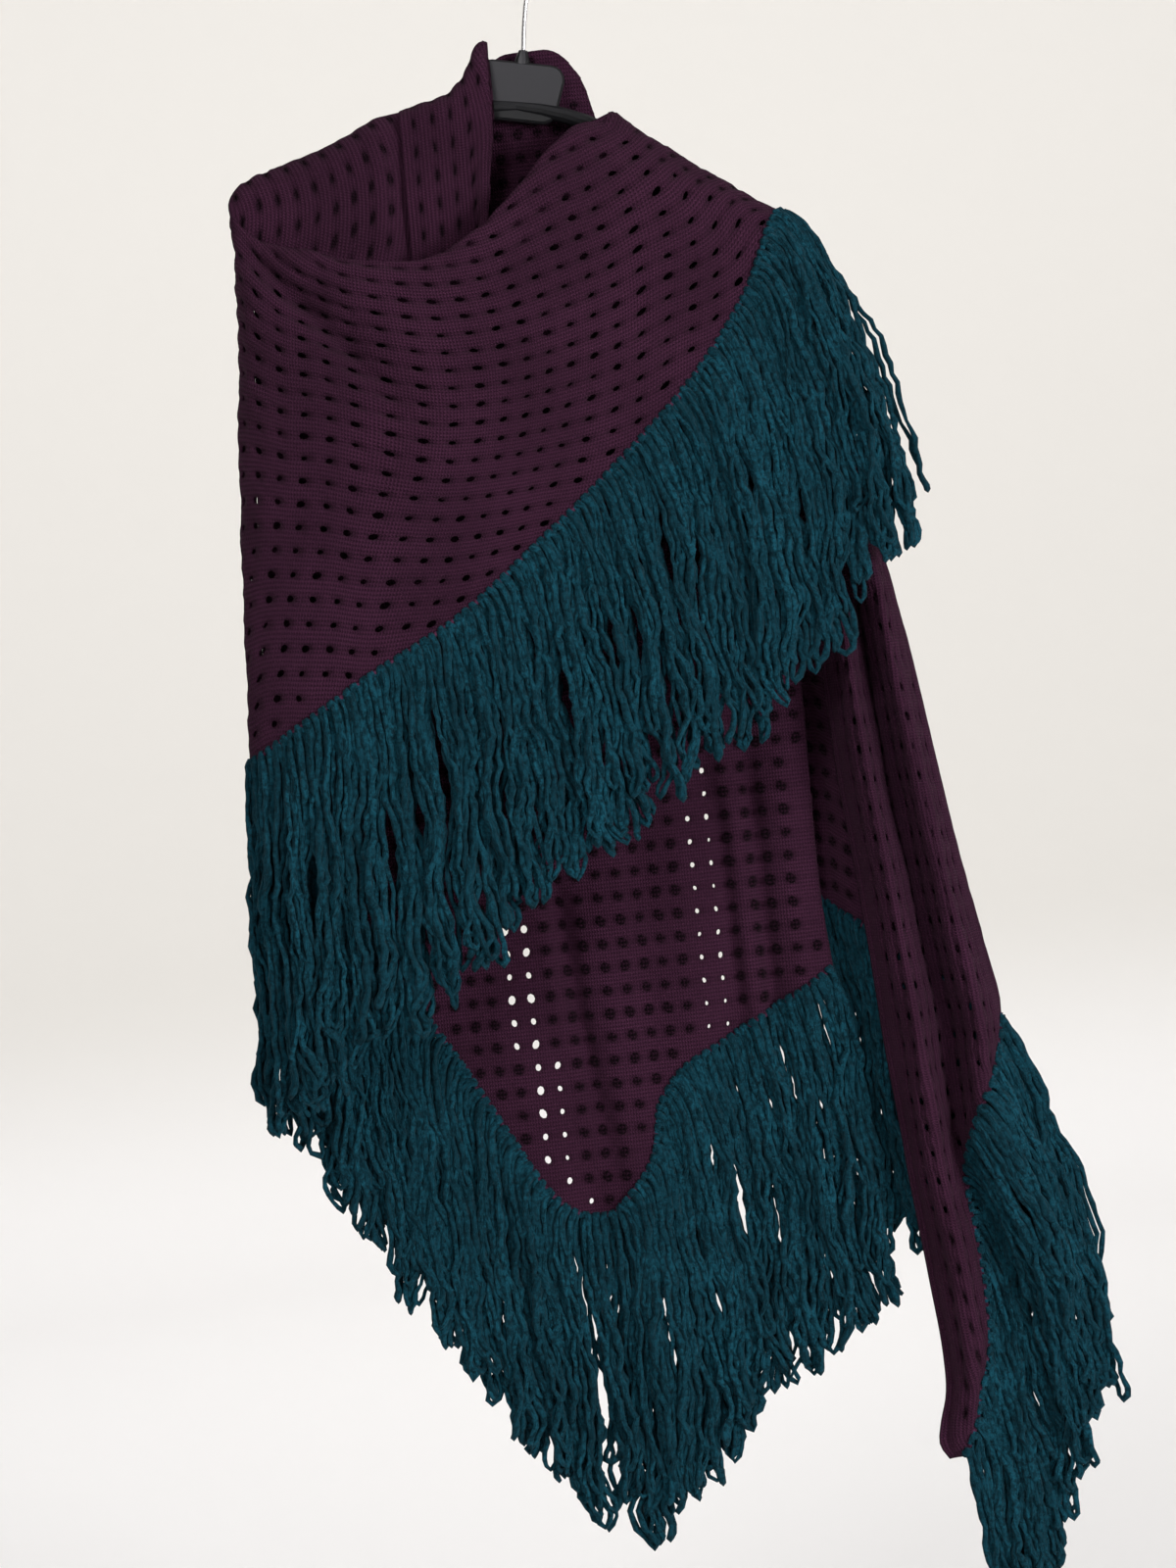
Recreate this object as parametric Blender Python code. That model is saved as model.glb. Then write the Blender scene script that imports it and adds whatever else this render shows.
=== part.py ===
"""Fringed triangular knit shawl draped over a hanger, in metres, +Z up, front towards -Y.

The origin is the inner top of the hook's arc, where a rail would carry the hanger.
Tables are in millimetres. A stretch of cloth is a table with one row for each section of its
mid-surface; a wall of even thickness is laid along the smooth surface through those sections.
"""
import math

import bmesh
import bpy
import numpy as np
from mathutils import Vector

MM = 0.001

# Cloth
CLOTH_THICKNESS = 2.4
SEAM_GAP = 0.3
FOOT_GAP = 0.8                  # between a stretch that lies over an arm and the back under its foot
LAYER_STEP = 4.0                # the wrap's mid-surface above the layer under it, on the right arm

# Hanger
HOOK_INNER_RADIUS = 19.0
WIRE_DIAMETER = 3.2
ARM_TILT = math.radians(10)
ARM_CENTRE = (-21.0, -135.2)    # x, z of the arms' centre line in the middle
ARM_HALF_HEIGHT = 7.0
ARM_HALF_DEPTH = 10.5
ARM_PROFILE = (                 # distance from the middle, drop, share of the full section
    (0, 0.0, 0.55), (26, 2.2, 0.7), (60, 10.5, 0.92), (92, 24.4, 1.0),
    (120, 40.0, 1.0), (160, 62.5, 1.0), (188, 78.5, 0.9), (200, 85.0, 0.35),
)
PLATE_TILT = math.radians(12)
PLATE_TOP = (-13.3, -103.1)     # x, z of the middle of the plate's upper edge
PLATE_WIDTH_TOP = 66.0
PLATE_WIDTH_BOTTOM = 60.0
PLATE_HEIGHT = 44.0
PLATE_THICKNESS = 8.0
PLATE_CORNER = 11.0
BOSS_HEIGHT = 9.0
BOSS_RADII = (5.5, 3.4)

# Right arm: the line of the cloth's outer face over it, seen from the front
RIGHT_RIDGE = (                 # x, z
    (32, -140.0), (50, -145.0), (73, -166.0), (100, -187.0), (134, -212.0), (172, -237.5),
)

# Left arm: the cloth lies over it and falls into the hollow behind the wrap
LEFT_SHOULDER = (               # top x, top z, arch depth, arch height, low x, low y, low z
    (-241.0, -187.5, 12.0, 3.0, -240.5, -12.3, -192.5),
    (-239.0, -179.5, 12.5, 9.0, -236.5, -12.5, -195.5),
    (-227.0, -171.2, 13.5, 14.0, -226.5, -13.0, -209),
    (-197.0, -160.8, 16.0, 16.0, -197.0, -20.0, -278),
    (-167.0, -151.6, 16.0, 16.0, -168.0, -23.5, -296),
    (-146.0, -142.9, 16.0, 16.0, -147.0, -27.0, -303),
    (-126.0, -134.6, 16.0, 16.0, -127.0, -29.0, -305),
    (-106.5, -130.4, 16.0, 16.0, -108.5, -19.0, -305),
)

# Neck: the cloth stands up beside the hook, folds over the plate's corner and falls in front
NECK_FALL = (                   # top x, top z, crown half depth, low x, low y, low z
    (-105.8, -130.4, 16, -107.0, -22.5, -305),
    (-90.0, -125.5, 16, -94.0, -28.0, -303),
    (-74.0, -121.0, 15, -82.0, -26.5, -299),
    (-60.0, -111.0, 13, -71.0, -24.0, -293),
    (-48.0, -99.5, 11, -63.0, -25.5, -286),
    (-38.5, -85.5, 9, -57.5, -30.0, -272),
)

# Wrap: from the left fold across the front to the right shoulder
WRAP_FOLD = (                   # x, z of the fold's outermost line
    (-240.5, -196), (-240.5, -223), (-243.0, -274), (-250.0, -346), (-256.0, -419),
    (-262.0, -506), (-268.0, -600),
)
WRAP_FOLD_BACK_INSET = 10.0
WRAP_FOLD_DEPTH = 16.5
FRONT_WRAP = (                  # rim x, y, z, turn of the rim's lip, hem x, y, z, belly, lean
    (-229, -27, -209, 0, -250, -25, -592, 4, 0),
    (-207, -37, -225, 45, -221, -38, -576, 6, 0),
    (-160, -50, -243, 125, -170, -48, -547, 9, 0),
    (-100, -56, -251, 135, -104, -52, -513, 10, 0),
    (-50, -54, -227, 135, -37, -53, -463, 9, 2),
    (0, -42, -177, 110, 30, -51, -408, 8, 4),
    (20, -34, -160, 50, 85, -47, -357, 6, 4),
    (34, -27, -157, 0, 136, -36, -290, 4, 3),
)
LIP_LENGTH = 12.0               # the rim's edge, which curls in towards the neck
LIP_STEPS = 4
WRAP_POINTS = 13
WRAP_SHOULDER_RIM_X = (40, 57)  # where the rim crosses the shoulder's front and its top
WRAP_SHOULDER_HEM_X = (157, 170)
WRAP_OVER_SHOULDER = (          # share of the way over, y, drop below the ridge
    (0.0, -23.5, 16.0), (0.35, -16.5, 6.0), (0.75, -6.0, 0.4), (0.95, -1.0, 0.0), (1.0, 0.0, 0.0),
)

# The crease that runs from the left corner down across the wrap
CREASE_START = (-236, -214)
CREASE_END = (-128, -350)
CREASE_DEPTH = 9.0
CREASE_WIDTH = 17.0

# Thrown end: the wrap's tip, down the back from the right shoulder
THROWN_END = (                  # rim x, y, z, hem x, y, z
    (69, 22.5, -178, 171, 22.5, -261),
    (78, 33.0, -232, 164, 35.0, -302),
    (90, 42.5, -302, 149, 43.5, -352),
    (100, 44.0, -372, 131, 44.5, -402),
    (107.5, 44.5, -430, 114, 44.5, -436),
)

# Right tail: from the right arm down in front, in two deep folds
TAIL_TOP_X = (46, 160)
TAIL_FOOT = (17.0, 26)          # y, drop below the ridge, behind the arm
TAIL_ARCH = (
    (17.0, 22), (15.3, 12), (10.5, 4.0), (0.0, 0), (-10.5, 4.0), (-15.3, 12), (-17.5, 26),
)
RIGHT_TAIL = (                  # left x, z, end x, z, end share, back y, fold depth
    (56, -205, 170, -292, 1.0, -17, 5),
    (86, -300, 184, -352, 1.0, -12, 12),
    (124, -405, 200, -422, 1.0, -5, 22),
    (151, -478, 211, -474, 1.0, 0, 30),
    (160, -535, 222, -527, 1.0, 4, 34),
    (163, -590, 231, -590, 1.0, 6, 36),
    (166, -661, 241, -664, 1.0, 6, 36),
    (172, -734, 251, -734, 1.0, 6, 36),
    (176, -800, 262, -797, 1.0, 6, 36),
    (179, -848, 267, -843, 0.97, 6, 36),
    (181, -878, 259, -872, 0.90, 6, 36),
    (183, -903, 249, -896, 0.80, 6, 35),
    (185, -928, 238, -922, 0.67, 5, 34),
    (187, -960, 230, -958, 0.54, 4, 32),
    (191, -1005, 231, -1010, 0.46, 2, 30),
    (195, -1048, 233, -1055, 0.44, 1, 28),
    (198, -1090, 229, -1094, 0.40, 0, 24),
    (198, -1120, 220, -1119, 0.34, -2, 18),
    (195, -1141, 213, -1141, 0.28, -4, 12),
    (198, -1158, 207, -1158, 0.2, -6, 7),
)
TAIL_STEPS = (2, 2, 2, 1, 1, 2, 2, 2, 1, 2, 2, 2, 2)      # from one row to the next, then 1

# Back of the right wing: a deep fold behind the gap, then flat to the outer fold
BACK_SIDE = (                   # fold x, y, left z, edge x, right x, y, right z
    (97, 17.0, 0, 112, 160, 17.0, 0),
    (104, 23.5, -262, 124, 170, 14.5, -297),
    (114, 26.0, -330, 138, 184, 11.5, -356),
    (125, 32.0, -415, 149, 199, 9.5, -424),
    (135, 36.0, -520, 157, 220, 9.3, -525),
    (138, 38.0, -640, 159, 237, 9.3, -640),
    (139, 38.0, -742, 159, 266, 9.3, -838),
)

# Back panel: one layer, hung from both arms and the neck
BACK_MARGIN = 7.0               # flat strip beside the left fold
BACK_HEM_SLOPE = 2.2            # its hem's fall for its width
BACK_PANEL = (                  # top x, y, z, hem x, y, z, middle x shift
    (-197.0, 16.5, -181.3, -214.0, 20.0, -702, -2),
    (-167.0, 16.5, -171.0, -176.0, 23.0, -776, 0),
    (-146.0, 16.5, -163.5, -149.0, 24.0, -821, 0),
    (-126.0, 16.5, -156.0, -126.0, 24.5, -862, 0),
    (-106.2, 16.5, -151.0, -104.0, 22.0, -903, 0),
    (-90.0, 16.5, -147.6, -84.0, 21.0, -939, 0),
    (-74.0, 16.5, -141.0, -69.0, 22.0, -957, 0),
    (-60.0, 16.5, -132.0, -56.0, 26.0, -964, -3),
    (-48.0, 15.5, -117.0, -45.0, 29.0, -966, -6),
    (-37.0, 13.5, -101.0, -34.0, 24.0, -964, -4),
    (-30.0, 12.5, -94.0, -20.0, 19.0, -951, 0),
    (-8.0, 12.0, -92.5, -3.0, 20.0, -930, 0),
    (14.0, 12.5, -96.0, 9.0, 24.0, -887, 0),
    (30.0, 14.5, -118.0, 30.0, 22.0, -861, 0),
    (45.0, 17.0, -177.0, 54.0, 25.0, -848, 0),
    (55.5, 17.0, 0, 74.0, 31.0, -838, 0),
    (65.0, 17.0, 0, 87.0, 23.0, -831, 0),
    (74.5, 17.0, 0, 101.0, 31.0, -824, 5),
    (84.0, 17.0, 0, 124.0, 18.0, -812, 12),
    (93.5, 17.0, 0, 148.0, 24.0, -797, 22),
)                               # a top z of 0 takes the height of the tail's foot

# Fringe: each lock leaves the hem square to it, then hangs
LOCK_WIDTH = 7.0
LOCK_DEPTH = 4.6
STRIP_HEIGHT = 4.0
STRIP_THICKNESS = 2.8
STRIP_GAP = 1.0
STRIP_TRIM = 2.0
FRONT_AND_BACK = (-3.2, 3.2)    # neighbouring locks part to the front and the back
BEHIND = (1.0, 6.6)
FRINGE_FRONT = (                # share of the hem, tip dx, y, dz, push
    (0.00, -8, -6, -268, 8), (0.03, -9, -28, -270, 12), (0.07, -8, -48, -276, 24),
    (0.12, -6, -54, -276, 30), (0.22, 4, -60, -262, 34),
    (0.38, 22, -62, -222, 34), (0.52, 26, -62, -236, 34), (0.66, 32, -62, -240, 34),
    (0.78, 38, -60, -254, 34), (0.88, 44, -58, -262, 38), (0.93, 54, -54, -264, 40),
    (0.96, 64, -44, -262, 40), (1.00, 80, -22, -258, 40),
)
FRINGE_BACK_LEFT = (
    (0.00, -12, 20, -262, 20), (0.20, -2, 24, -268, 26), (0.45, -2, 27, -264, 30),
    (0.70, 0, 28, -250, 32), (1.00, 6, 29, -243, 34),
)
FRINGE_BACK_RIGHT = (
    (0.00, 6, 29, -246, 24), (0.20, 12, 28, -256, 20), (0.36, 30, 28, -266, 20),
    (0.50, 30, 28, -258, 28), (0.75, 26, 27, -256, 30), (1.00, 24, 27, -246, 26),
)
FRINGE_BACK_SIDE = (
    (0.00, 20, 34, -250, 8), (0.2, 26, 24, -250, 8), (1.00, 32, 18, -240, 12),
)
FRINGE_TAIL = (
    (0.00, 49, -8, -242, 20), (0.165, 54, -14, -246, 26), (0.25, 59, -16, -242, 30),
    (0.36, 58, -15, -238, 32), (0.51, 42, -14, -230, 32), (0.645, 24, -14, -226, 26),
    (0.80, 17, -14, -226, 22), (1.00, 15, -14, -228, 12),
)
FRINGE_THROWN_END = (
    (0.00, 30, 52, -232, 24), (0.35, 28, 54, -240, 26), (0.70, 16, 54, -240, 24),
    (1.00, 6, 54, -236, 20),
)
FRINGE_PITCH = 11.0
STEEP_FRINGE_PITCH = 17.0
TAIL_FRINGE_PITCH = 27.5
TAIL_HEM_START_Z = -846
SIDE_HEM_START = 3              # the hem's first column outside the deep fold
TIP_UNEVENNESS = 9.0
TIP_SWAY = 0.12                 # share of that unevenness that also goes sideways


# ---------------------------------------------------------------- curves and surfaces

def spline(knots, values, at):
    """Smooth curve through values at knots, read at the places in at."""
    knots = np.asarray(knots, float)
    values = np.asarray(values, float)
    flat = values.reshape(len(knots), -1)
    steps = np.diff(knots)[:, None]
    slopes = np.diff(flat, axis=0) / steps
    tangents = np.empty_like(flat)
    tangents[0], tangents[-1] = slopes[0], slopes[-1]
    before, after = steps[:-1], steps[1:]
    tangents[1:-1] = (slopes[:-1] * after + slopes[1:] * before) / (before + after)
    at = np.clip(np.asarray(at, float), knots[0], knots[-1])
    cell = np.clip(np.searchsorted(knots, at, side="right") - 1, 0, len(knots) - 2)
    width = steps[cell]
    t = (at[:, None] - knots[cell][:, None]) / width
    curve = ((2 * t**3 - 3 * t**2 + 1) * flat[cell]
             + (t**3 - 2 * t**2 + t) * width * tangents[cell]
             + (3 * t**2 - 2 * t**3) * flat[cell + 1]
             + (t**3 - t**2) * width * tangents[cell + 1])
    return curve.reshape((len(at),) + values.shape[1:])


def lengths_along(points):
    """Running length along a row of points, or the mean one along a row of curves."""
    jumps = np.linalg.norm(np.diff(points, axis=0), axis=-1)
    if jumps.ndim > 1:
        jumps = jumps.mean(axis=1)
    return np.concatenate([[0.0], np.cumsum(np.maximum(jumps, 0.05))])


def resample(points, count):
    points = np.asarray(points, float)
    knots = lengths_along(points)
    return spline(knots, points, np.linspace(0.0, knots[-1], count))


def subdivide(points, steps):
    """Keeps every row of points and adds even steps between it and the next one."""
    knots = lengths_along(points)
    steps = steps if isinstance(steps, (list, tuple)) else [steps] * (len(knots) - 1)
    at = [knots[0]]
    for start, end, count in zip(knots[:-1], knots[1:], steps):
        at += [start + (end - start) * (step + 1) / count for step in range(count)]
    return spline(knots, points, at)


def table_line(table, x):
    return float(np.interp(x, [row[0] for row in table], [row[1] for row in table]))


def grid_normals(grid):
    over = np.gradient(grid, axis=0)
    down = np.gradient(grid, axis=1)
    normals = np.cross(over, down)
    return normals / np.maximum(np.linalg.norm(normals, axis=2, keepdims=True), 1e-9)


# ---------------------------------------------------------------- objects

def material(name, colour, roughness, metallic=0.0):
    made = bpy.data.materials.new(name)
    made.use_nodes = True
    shader = made.node_tree.nodes["Principled BSDF"]
    shader.inputs["Base Color"].default_value = (*colour, 1.0)
    shader.inputs["Roughness"].default_value = roughness
    shader.inputs["Metallic"].default_value = metallic
    return made


def add_object(name, vertices, faces, look):
    """Closed body from points in millimetres, with its faces turned out."""
    mesh = bpy.data.meshes.new(name)
    mesh.from_pydata([Vector(map(float, point)) * MM for point in vertices], [], faces)
    work = bmesh.new()
    work.from_mesh(mesh)
    bmesh.ops.triangulate(work, faces=work.faces)
    bmesh.ops.recalc_face_normals(work, faces=work.faces)
    work.to_mesh(mesh)
    work.free()
    mesh.materials.append(look)
    made = bpy.data.objects.new(name, mesh)
    bpy.context.collection.objects.link(made)
    return made


def add_wall(name, grid, look, thickness=CLOTH_THICKNESS):
    """Wall of even thickness along a grid of mid-surface points."""
    across, along = grid.shape[:2]
    normals = grid_normals(grid)
    vertices = np.concatenate([(grid + normals * thickness / 2).reshape(-1, 3),
                               (grid - normals * thickness / 2).reshape(-1, 3)])
    other = across * along

    def at(i, j, side=0):
        return side * other + i * along + j

    faces = []
    for i in range(across - 1):
        for j in range(along - 1):
            a, b, c, d = at(i, j), at(i + 1, j), at(i + 1, j + 1), at(i, j + 1)
            faces += [(a, b, c), (a, c, d)]
            faces += [(c + other, b + other, a + other), (d + other, c + other, a + other)]
    border = [(i, 0) for i in range(across - 1)]
    border += [(across - 1, j) for j in range(along - 1)]
    border += [(i, along - 1) for i in range(across - 1, 0, -1)]
    border += [(0, j) for j in range(along - 1, 0, -1)]
    for start, end in zip(border, border[1:] + border[:1]):
        faces.append((at(*start), at(*start, 1), at(*end, 1), at(*end)))
    return add_object(name, vertices, faces, look)


def add_rings(name, rings, look):
    """Closed tube through rings of equal count, with flat ends."""
    count = len(rings[0])
    vertices = [point for ring in rings for point in ring]
    faces = [tuple(range(count)), tuple(range(len(vertices) - count, len(vertices)))]
    for i in range(len(rings) - 1):
        for j in range(count):
            k = (j + 1) % count
            faces.append((i * count + j, i * count + k, (i + 1) * count + k, (i + 1) * count + j))
    return add_object(name, vertices, faces, look)


# ---------------------------------------------------------------- hanger

def tilted(x, z, tilt, centre):
    """Place in the world of a point given along and above a tilted centre."""
    return (centre[0] + x * math.cos(tilt) + z * math.sin(tilt),
            centre[1] - x * math.sin(tilt) + z * math.cos(tilt))


def arm_rings(sides=12, stations=23):
    """Oval rings of the two arms, from the left tip to the right tip."""
    distances, drops, shares = (np.array(column, float) for column in zip(*ARM_PROFILE))
    reach = distances[-1]
    rings = []
    for place in np.linspace(-reach, reach, stations):
        drop, share = (spline(distances, np.stack([drops, shares], axis=1), [abs(place)]))[0]
        x, z = tilted(place, -drop, ARM_TILT, ARM_CENTRE)
        ring = []
        for side in range(sides):
            turn = math.tau * side / sides
            ring.append((x, ARM_HALF_DEPTH * share * math.cos(turn),
                         z + ARM_HALF_HEIGHT * min(1.0, share * 1.2) * math.sin(turn)))
        rings.append(ring)
    return rings


def plate_rings(corner_steps=4):
    """Outlines of the plate from its front face to its back face."""
    layers = ((-0.5, 1.6), (-0.3, 0.0), (0.3, 0.0), (0.5, 1.6))
    rings = []
    for share, inset in layers:
        corner = PLATE_CORNER - inset
        ring = []
        for quarter, (side, level) in enumerate(((1, 1), (-1, 1), (-1, -1), (1, -1))):
            width = PLATE_WIDTH_TOP if level > 0 else PLATE_WIDTH_BOTTOM
            middle_x = side * (width / 2 - inset - corner)
            middle_z = level * (PLATE_HEIGHT / 2 - inset - corner) - PLATE_HEIGHT / 2
            for step in range(corner_steps + 1):
                turn = math.pi / 2 * (quarter + step / corner_steps)
                x, z = tilted(middle_x + corner * math.cos(turn), middle_z + corner * math.sin(turn),
                              PLATE_TILT, PLATE_TOP)
                ring.append((x, share * PLATE_THICKNESS, z))
        rings.append(ring)
    return rings


def boss_rings(sides=12):
    rings = []
    for height, radius in ((-2.0, BOSS_RADII[0]), (2.0, BOSS_RADII[0]), (BOSS_HEIGHT, BOSS_RADII[1])):
        ring = []
        for side in range(sides):
            turn = math.tau * side / sides
            x, z = tilted(radius * math.cos(turn), height, PLATE_TILT, PLATE_TOP)
            ring.append((x, min(radius, PLATE_THICKNESS / 2 - 0.2) * math.sin(turn), z))
        rings.append(ring)
    return rings


def hook_rings(sides=8):
    """Wire rings from its foot on the boss up the stem and round the hook's arc."""
    radius = HOOK_INNER_RADIUS + WIRE_DIAMETER / 2
    foot = tilted(0.0, BOSS_HEIGHT + SEAM_GAP, PLATE_TILT, PLATE_TOP)
    route = [foot, (-7.6, -68.0), (-4.6, -55.0), (2.0, -43.5)]
    for degrees in range(-52, 212, 12):
        turn = math.radians(degrees)
        route.append((radius * math.cos(turn), -HOOK_INNER_RADIUS + radius * math.sin(turn)))
    route = resample(np.array(route), 30)
    rings = []
    for place, (x, z) in enumerate(route):
        ahead = route[min(place + 1, len(route) - 1)] - route[max(place - 1, 0)]
        ahead = ahead / np.linalg.norm(ahead)
        ring = []
        for side in range(sides):
            turn = math.tau * side / sides
            out = WIRE_DIAMETER / 2 * math.cos(turn)
            ring.append((x + ahead[1] * out, WIRE_DIAMETER / 2 * math.sin(turn), z - ahead[0] * out))
        rings.append(ring)
    return rings


def build_hanger(plastic, wire):
    body = add_rings("hanger_body", arm_rings(), plastic)
    for name, rings in (("plate_form", plate_rings()), ("boss_form", boss_rings())):
        form = add_rings(name, rings, plastic)
        form.hide_render = True
        form.display_type = 'WIRE'
        union = body.modifiers.new("Join " + name, 'BOOLEAN')
        union.operation = 'UNION'
        union.solver = 'EXACT'
        union.object = form
    add_rings("hanger_hook", hook_rings(), wire)


# ---------------------------------------------------------------- cloth

def ridge(x):
    """Mid-surface of the outer layer over the right arm."""
    return table_line(RIGHT_RIDGE, x) - CLOTH_THICKNESS / 2


def back_top(x):
    """Upper edge of the back panel at x: its depth, and its height with the seam's gap."""
    corner_x, corner_z = WRAP_FOLD[0][0] + WRAP_FOLD_BACK_INSET + BACK_MARGIN, WRAP_FOLD[0][1]
    rows = [(corner_x, WRAP_FOLD_DEPTH, corner_z)] + [row[:3] for row in BACK_PANEL]
    places, depths, heights = zip(*rows)
    before, height, after = np.interp([x - 1, x, x + 1], places, heights)
    gap = FOOT_GAP * math.hypot(1, (after - before) / 2)
    return float(np.interp(x, places, depths)), float(height + gap)


def left_shoulder_grid():
    sections = []
    for top_x, top_z, depth, height, low_x, low_y, low_z in LEFT_SHOULDER:
        foot_y, foot_z = back_top(top_x)
        foot_y = min(foot_y, depth + 0.5)
        hang = top_z - height
        section = [(top_x, foot_y, foot_z), (top_x, foot_y, (foot_z + max(hang, foot_z) + 2) / 2)]
        for degrees in (-68, -35, 0, 35, 68):
            turn = math.radians(degrees)
            section.append((top_x, -depth * math.sin(turn), top_z - height * (1 - math.cos(turn))))
        for share in (0.12, 0.4, 0.7, 1.0):
            section.append((top_x + (low_x - top_x) * share, -depth + (low_y + depth) * share,
                            hang + (low_z - hang) * share))
        sections.append(section)
    return np.array(sections)


def neck_fall_grid():
    sections = []
    for top_x, top_z, crown, low_x, low_y, low_z in NECK_FALL:
        foot_y, foot_z = back_top(top_x)
        front_z = min(top_z - 22, -135)
        section = [(top_x, foot_y, foot_z), (top_x, (foot_y + crown) / 2 + 0.8, (foot_z + top_z - 8) / 2),
                   (top_x, crown * 0.72, top_z - 5), (top_x, 0, top_z), (top_x, -crown * 0.72, top_z - 5),
                   (top_x, -crown - 2.5, (top_z + front_z) / 2 - 2), (top_x, -16.5, front_z)]
        for share in (0.35, 0.68, 1.0):
            section.append((top_x + (low_x - top_x) * share, -16.5 + (low_y + 16.5) * share,
                            front_z + (low_z - front_z) * share))
        sections.append(section)
    return subdivide(np.array(sections), 1)


def crease(grid, depth):
    """Press the grid back along the line that runs down from the left corner."""
    start, end = np.array(CREASE_START, float), np.array(CREASE_END, float)
    line = end - start
    reach = np.linalg.norm(line)
    flat = grid[..., (0, 2)] - start
    along = flat @ line / reach
    aside = (flat[..., 0] * line[1] - flat[..., 1] * line[0]) / reach
    share = along / reach
    fade = np.clip(np.minimum((share + 0.1) / 0.3, (1.25 - share) / 0.6), 0, 1)
    front = np.clip((-grid[..., 1] - 12) / 16, 0, 1)
    grid[..., 1] += depth * fade * front * np.exp(-(aside / CREASE_WIDTH) ** 2)
    return grid


def lip(start, inside, up, turn):
    """Points of the rim's lip, from its edge back to the place where it leaves the wrap."""
    points = []
    for step in range(LIP_STEPS, 0, -1):
        run = LIP_LENGTH * step / LIP_STEPS
        bend = max(turn, 1e-4) * run / LIP_LENGTH
        points.append(start + (up * math.sin(bend) + inside * (1 - math.cos(bend))) * run / bend)
    return points


def front_wrap_grid():
    sections, turns = [], []
    for inset, y in ((WRAP_FOLD_BACK_INSET, WRAP_FOLD_DEPTH), (WRAP_FOLD_BACK_INSET - 4, WRAP_FOLD_DEPTH),
                     (1.6, WRAP_FOLD_DEPTH - 6.5), (0.0, 0.0), (2.2, -12.0)):
        sections.append([(x + inset, y, z) for x, z in WRAP_FOLD])
        turns.append(0.0)
    for rim_x, rim_y, rim_z, turn, hem_x, hem_y, hem_z, belly, lean in FRONT_WRAP:
        turn = math.radians(turn)
        radius = LIP_LENGTH / max(turn, 1e-4)
        set_back = radius * (1 - math.cos(min(turn, math.pi / 2)))
        section = []
        for share in (0.0, 0.15, 0.35, 0.6, 0.8, 1.0):
            arch = math.sin(math.pi * share)
            section.append((rim_x + (hem_x - rim_x) * share + lean * arch,
                            (rim_y - set_back) * (1 - share) + hem_y * share - belly * arch,
                            rim_z + (hem_z - rim_z) * share))
        sections.append(section)
        turns.append(turn)
    for share_over, y, drop in WRAP_OVER_SHOULDER:
        rim_x, hem_x = (start + (end - start) * share_over
                        for start, end in (WRAP_SHOULDER_RIM_X, WRAP_SHOULDER_HEM_X))
        sections.append([(x, y, ridge(x) - drop) for x in np.linspace(rim_x, hem_x, 9)])
        turns.append(0.0)

    bodies = []
    for section, turn in zip(sections, turns):
        section = np.array(section, float)
        knots = lengths_along(section)
        rise = math.sin(min(turn, math.pi / 2)) * LIP_LENGTH / turn if turn else LIP_LENGTH
        bodies.append(spline(knots, section, np.linspace(rise, knots[-1], WRAP_POINTS)))
    steps = [1] * 5 + [2] * 7 + [1] * len(WRAP_OVER_SHOULDER)
    grid = crease(subdivide(np.array(bodies), steps), CREASE_DEPTH)
    knots = np.concatenate([[0], np.cumsum(steps[:len(turns) - 1])])
    turns = np.interp(range(len(grid)), knots, turns)
    lips = []
    for section, normal, turn in zip(grid, grid_normals(grid)[:, 0], turns):
        lips.append(lip(section[0], normal, unit(section[0] - section[1]), turn))
    return np.concatenate([np.array(lips), grid], axis=1)


def thrown_end_grid():
    sections = []
    for y, drop in ((SEAM_GAP, 0.0), (4.0, 0.0), (14.0, 5.5), (20.0, 14.0)):
        rim_x, hem_x = WRAP_SHOULDER_RIM_X[1] + y * 0.3, WRAP_SHOULDER_HEM_X[1]
        sections.append([(x, y, ridge(x) - drop) for x in np.linspace(rim_x, hem_x, 7)])
    for rim_x, rim_y, rim_z, hem_x, hem_y, hem_z in THROWN_END:
        middle = ((rim_x + hem_x) / 2, (rim_y + hem_y) / 2 + 1, (rim_z + hem_z) / 2)
        sections.append(resample([(rim_x, rim_y, rim_z), middle, (hem_x, hem_y, hem_z)], 7))
    return subdivide(np.array(sections), [1, 1, 1, 1, 2, 2, 2, 1])


def fold_profile(share, back_y, depth):
    """Depth of the tail's two folds at a share of its width."""
    return back_y - depth * (0.5 - 0.5 * math.cos(4 * math.pi * share))


def tail_foot(x):
    """Height of the seam behind the right arm."""
    return ridge(x) - LAYER_STEP - TAIL_FOOT[1] - FOOT_GAP


def right_tail_grid(across=13):
    sections = []
    for y, drop in (TAIL_FOOT,) + TAIL_ARCH:
        section = []
        for x in np.linspace(*TAIL_TOP_X, across):
            section.append((x, y, ridge(x) - LAYER_STEP - drop))
        sections.append(section)
    for left_x, left_z, end_x, end_z, end_share, back_y, depth in RIGHT_TAIL:
        section = []
        for share in np.linspace(0, 1, across):
            section.append((left_x + (end_x - left_x) * share,
                            fold_profile(share * end_share, back_y, depth),
                            left_z + (end_z - left_z) * share))
        sections.append(section)
    steps = [1] * (len(TAIL_ARCH) + 1) + list(TAIL_STEPS)
    return subdivide(np.array(sections), steps + [1] * (len(sections) - 1 - len(steps)))


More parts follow.
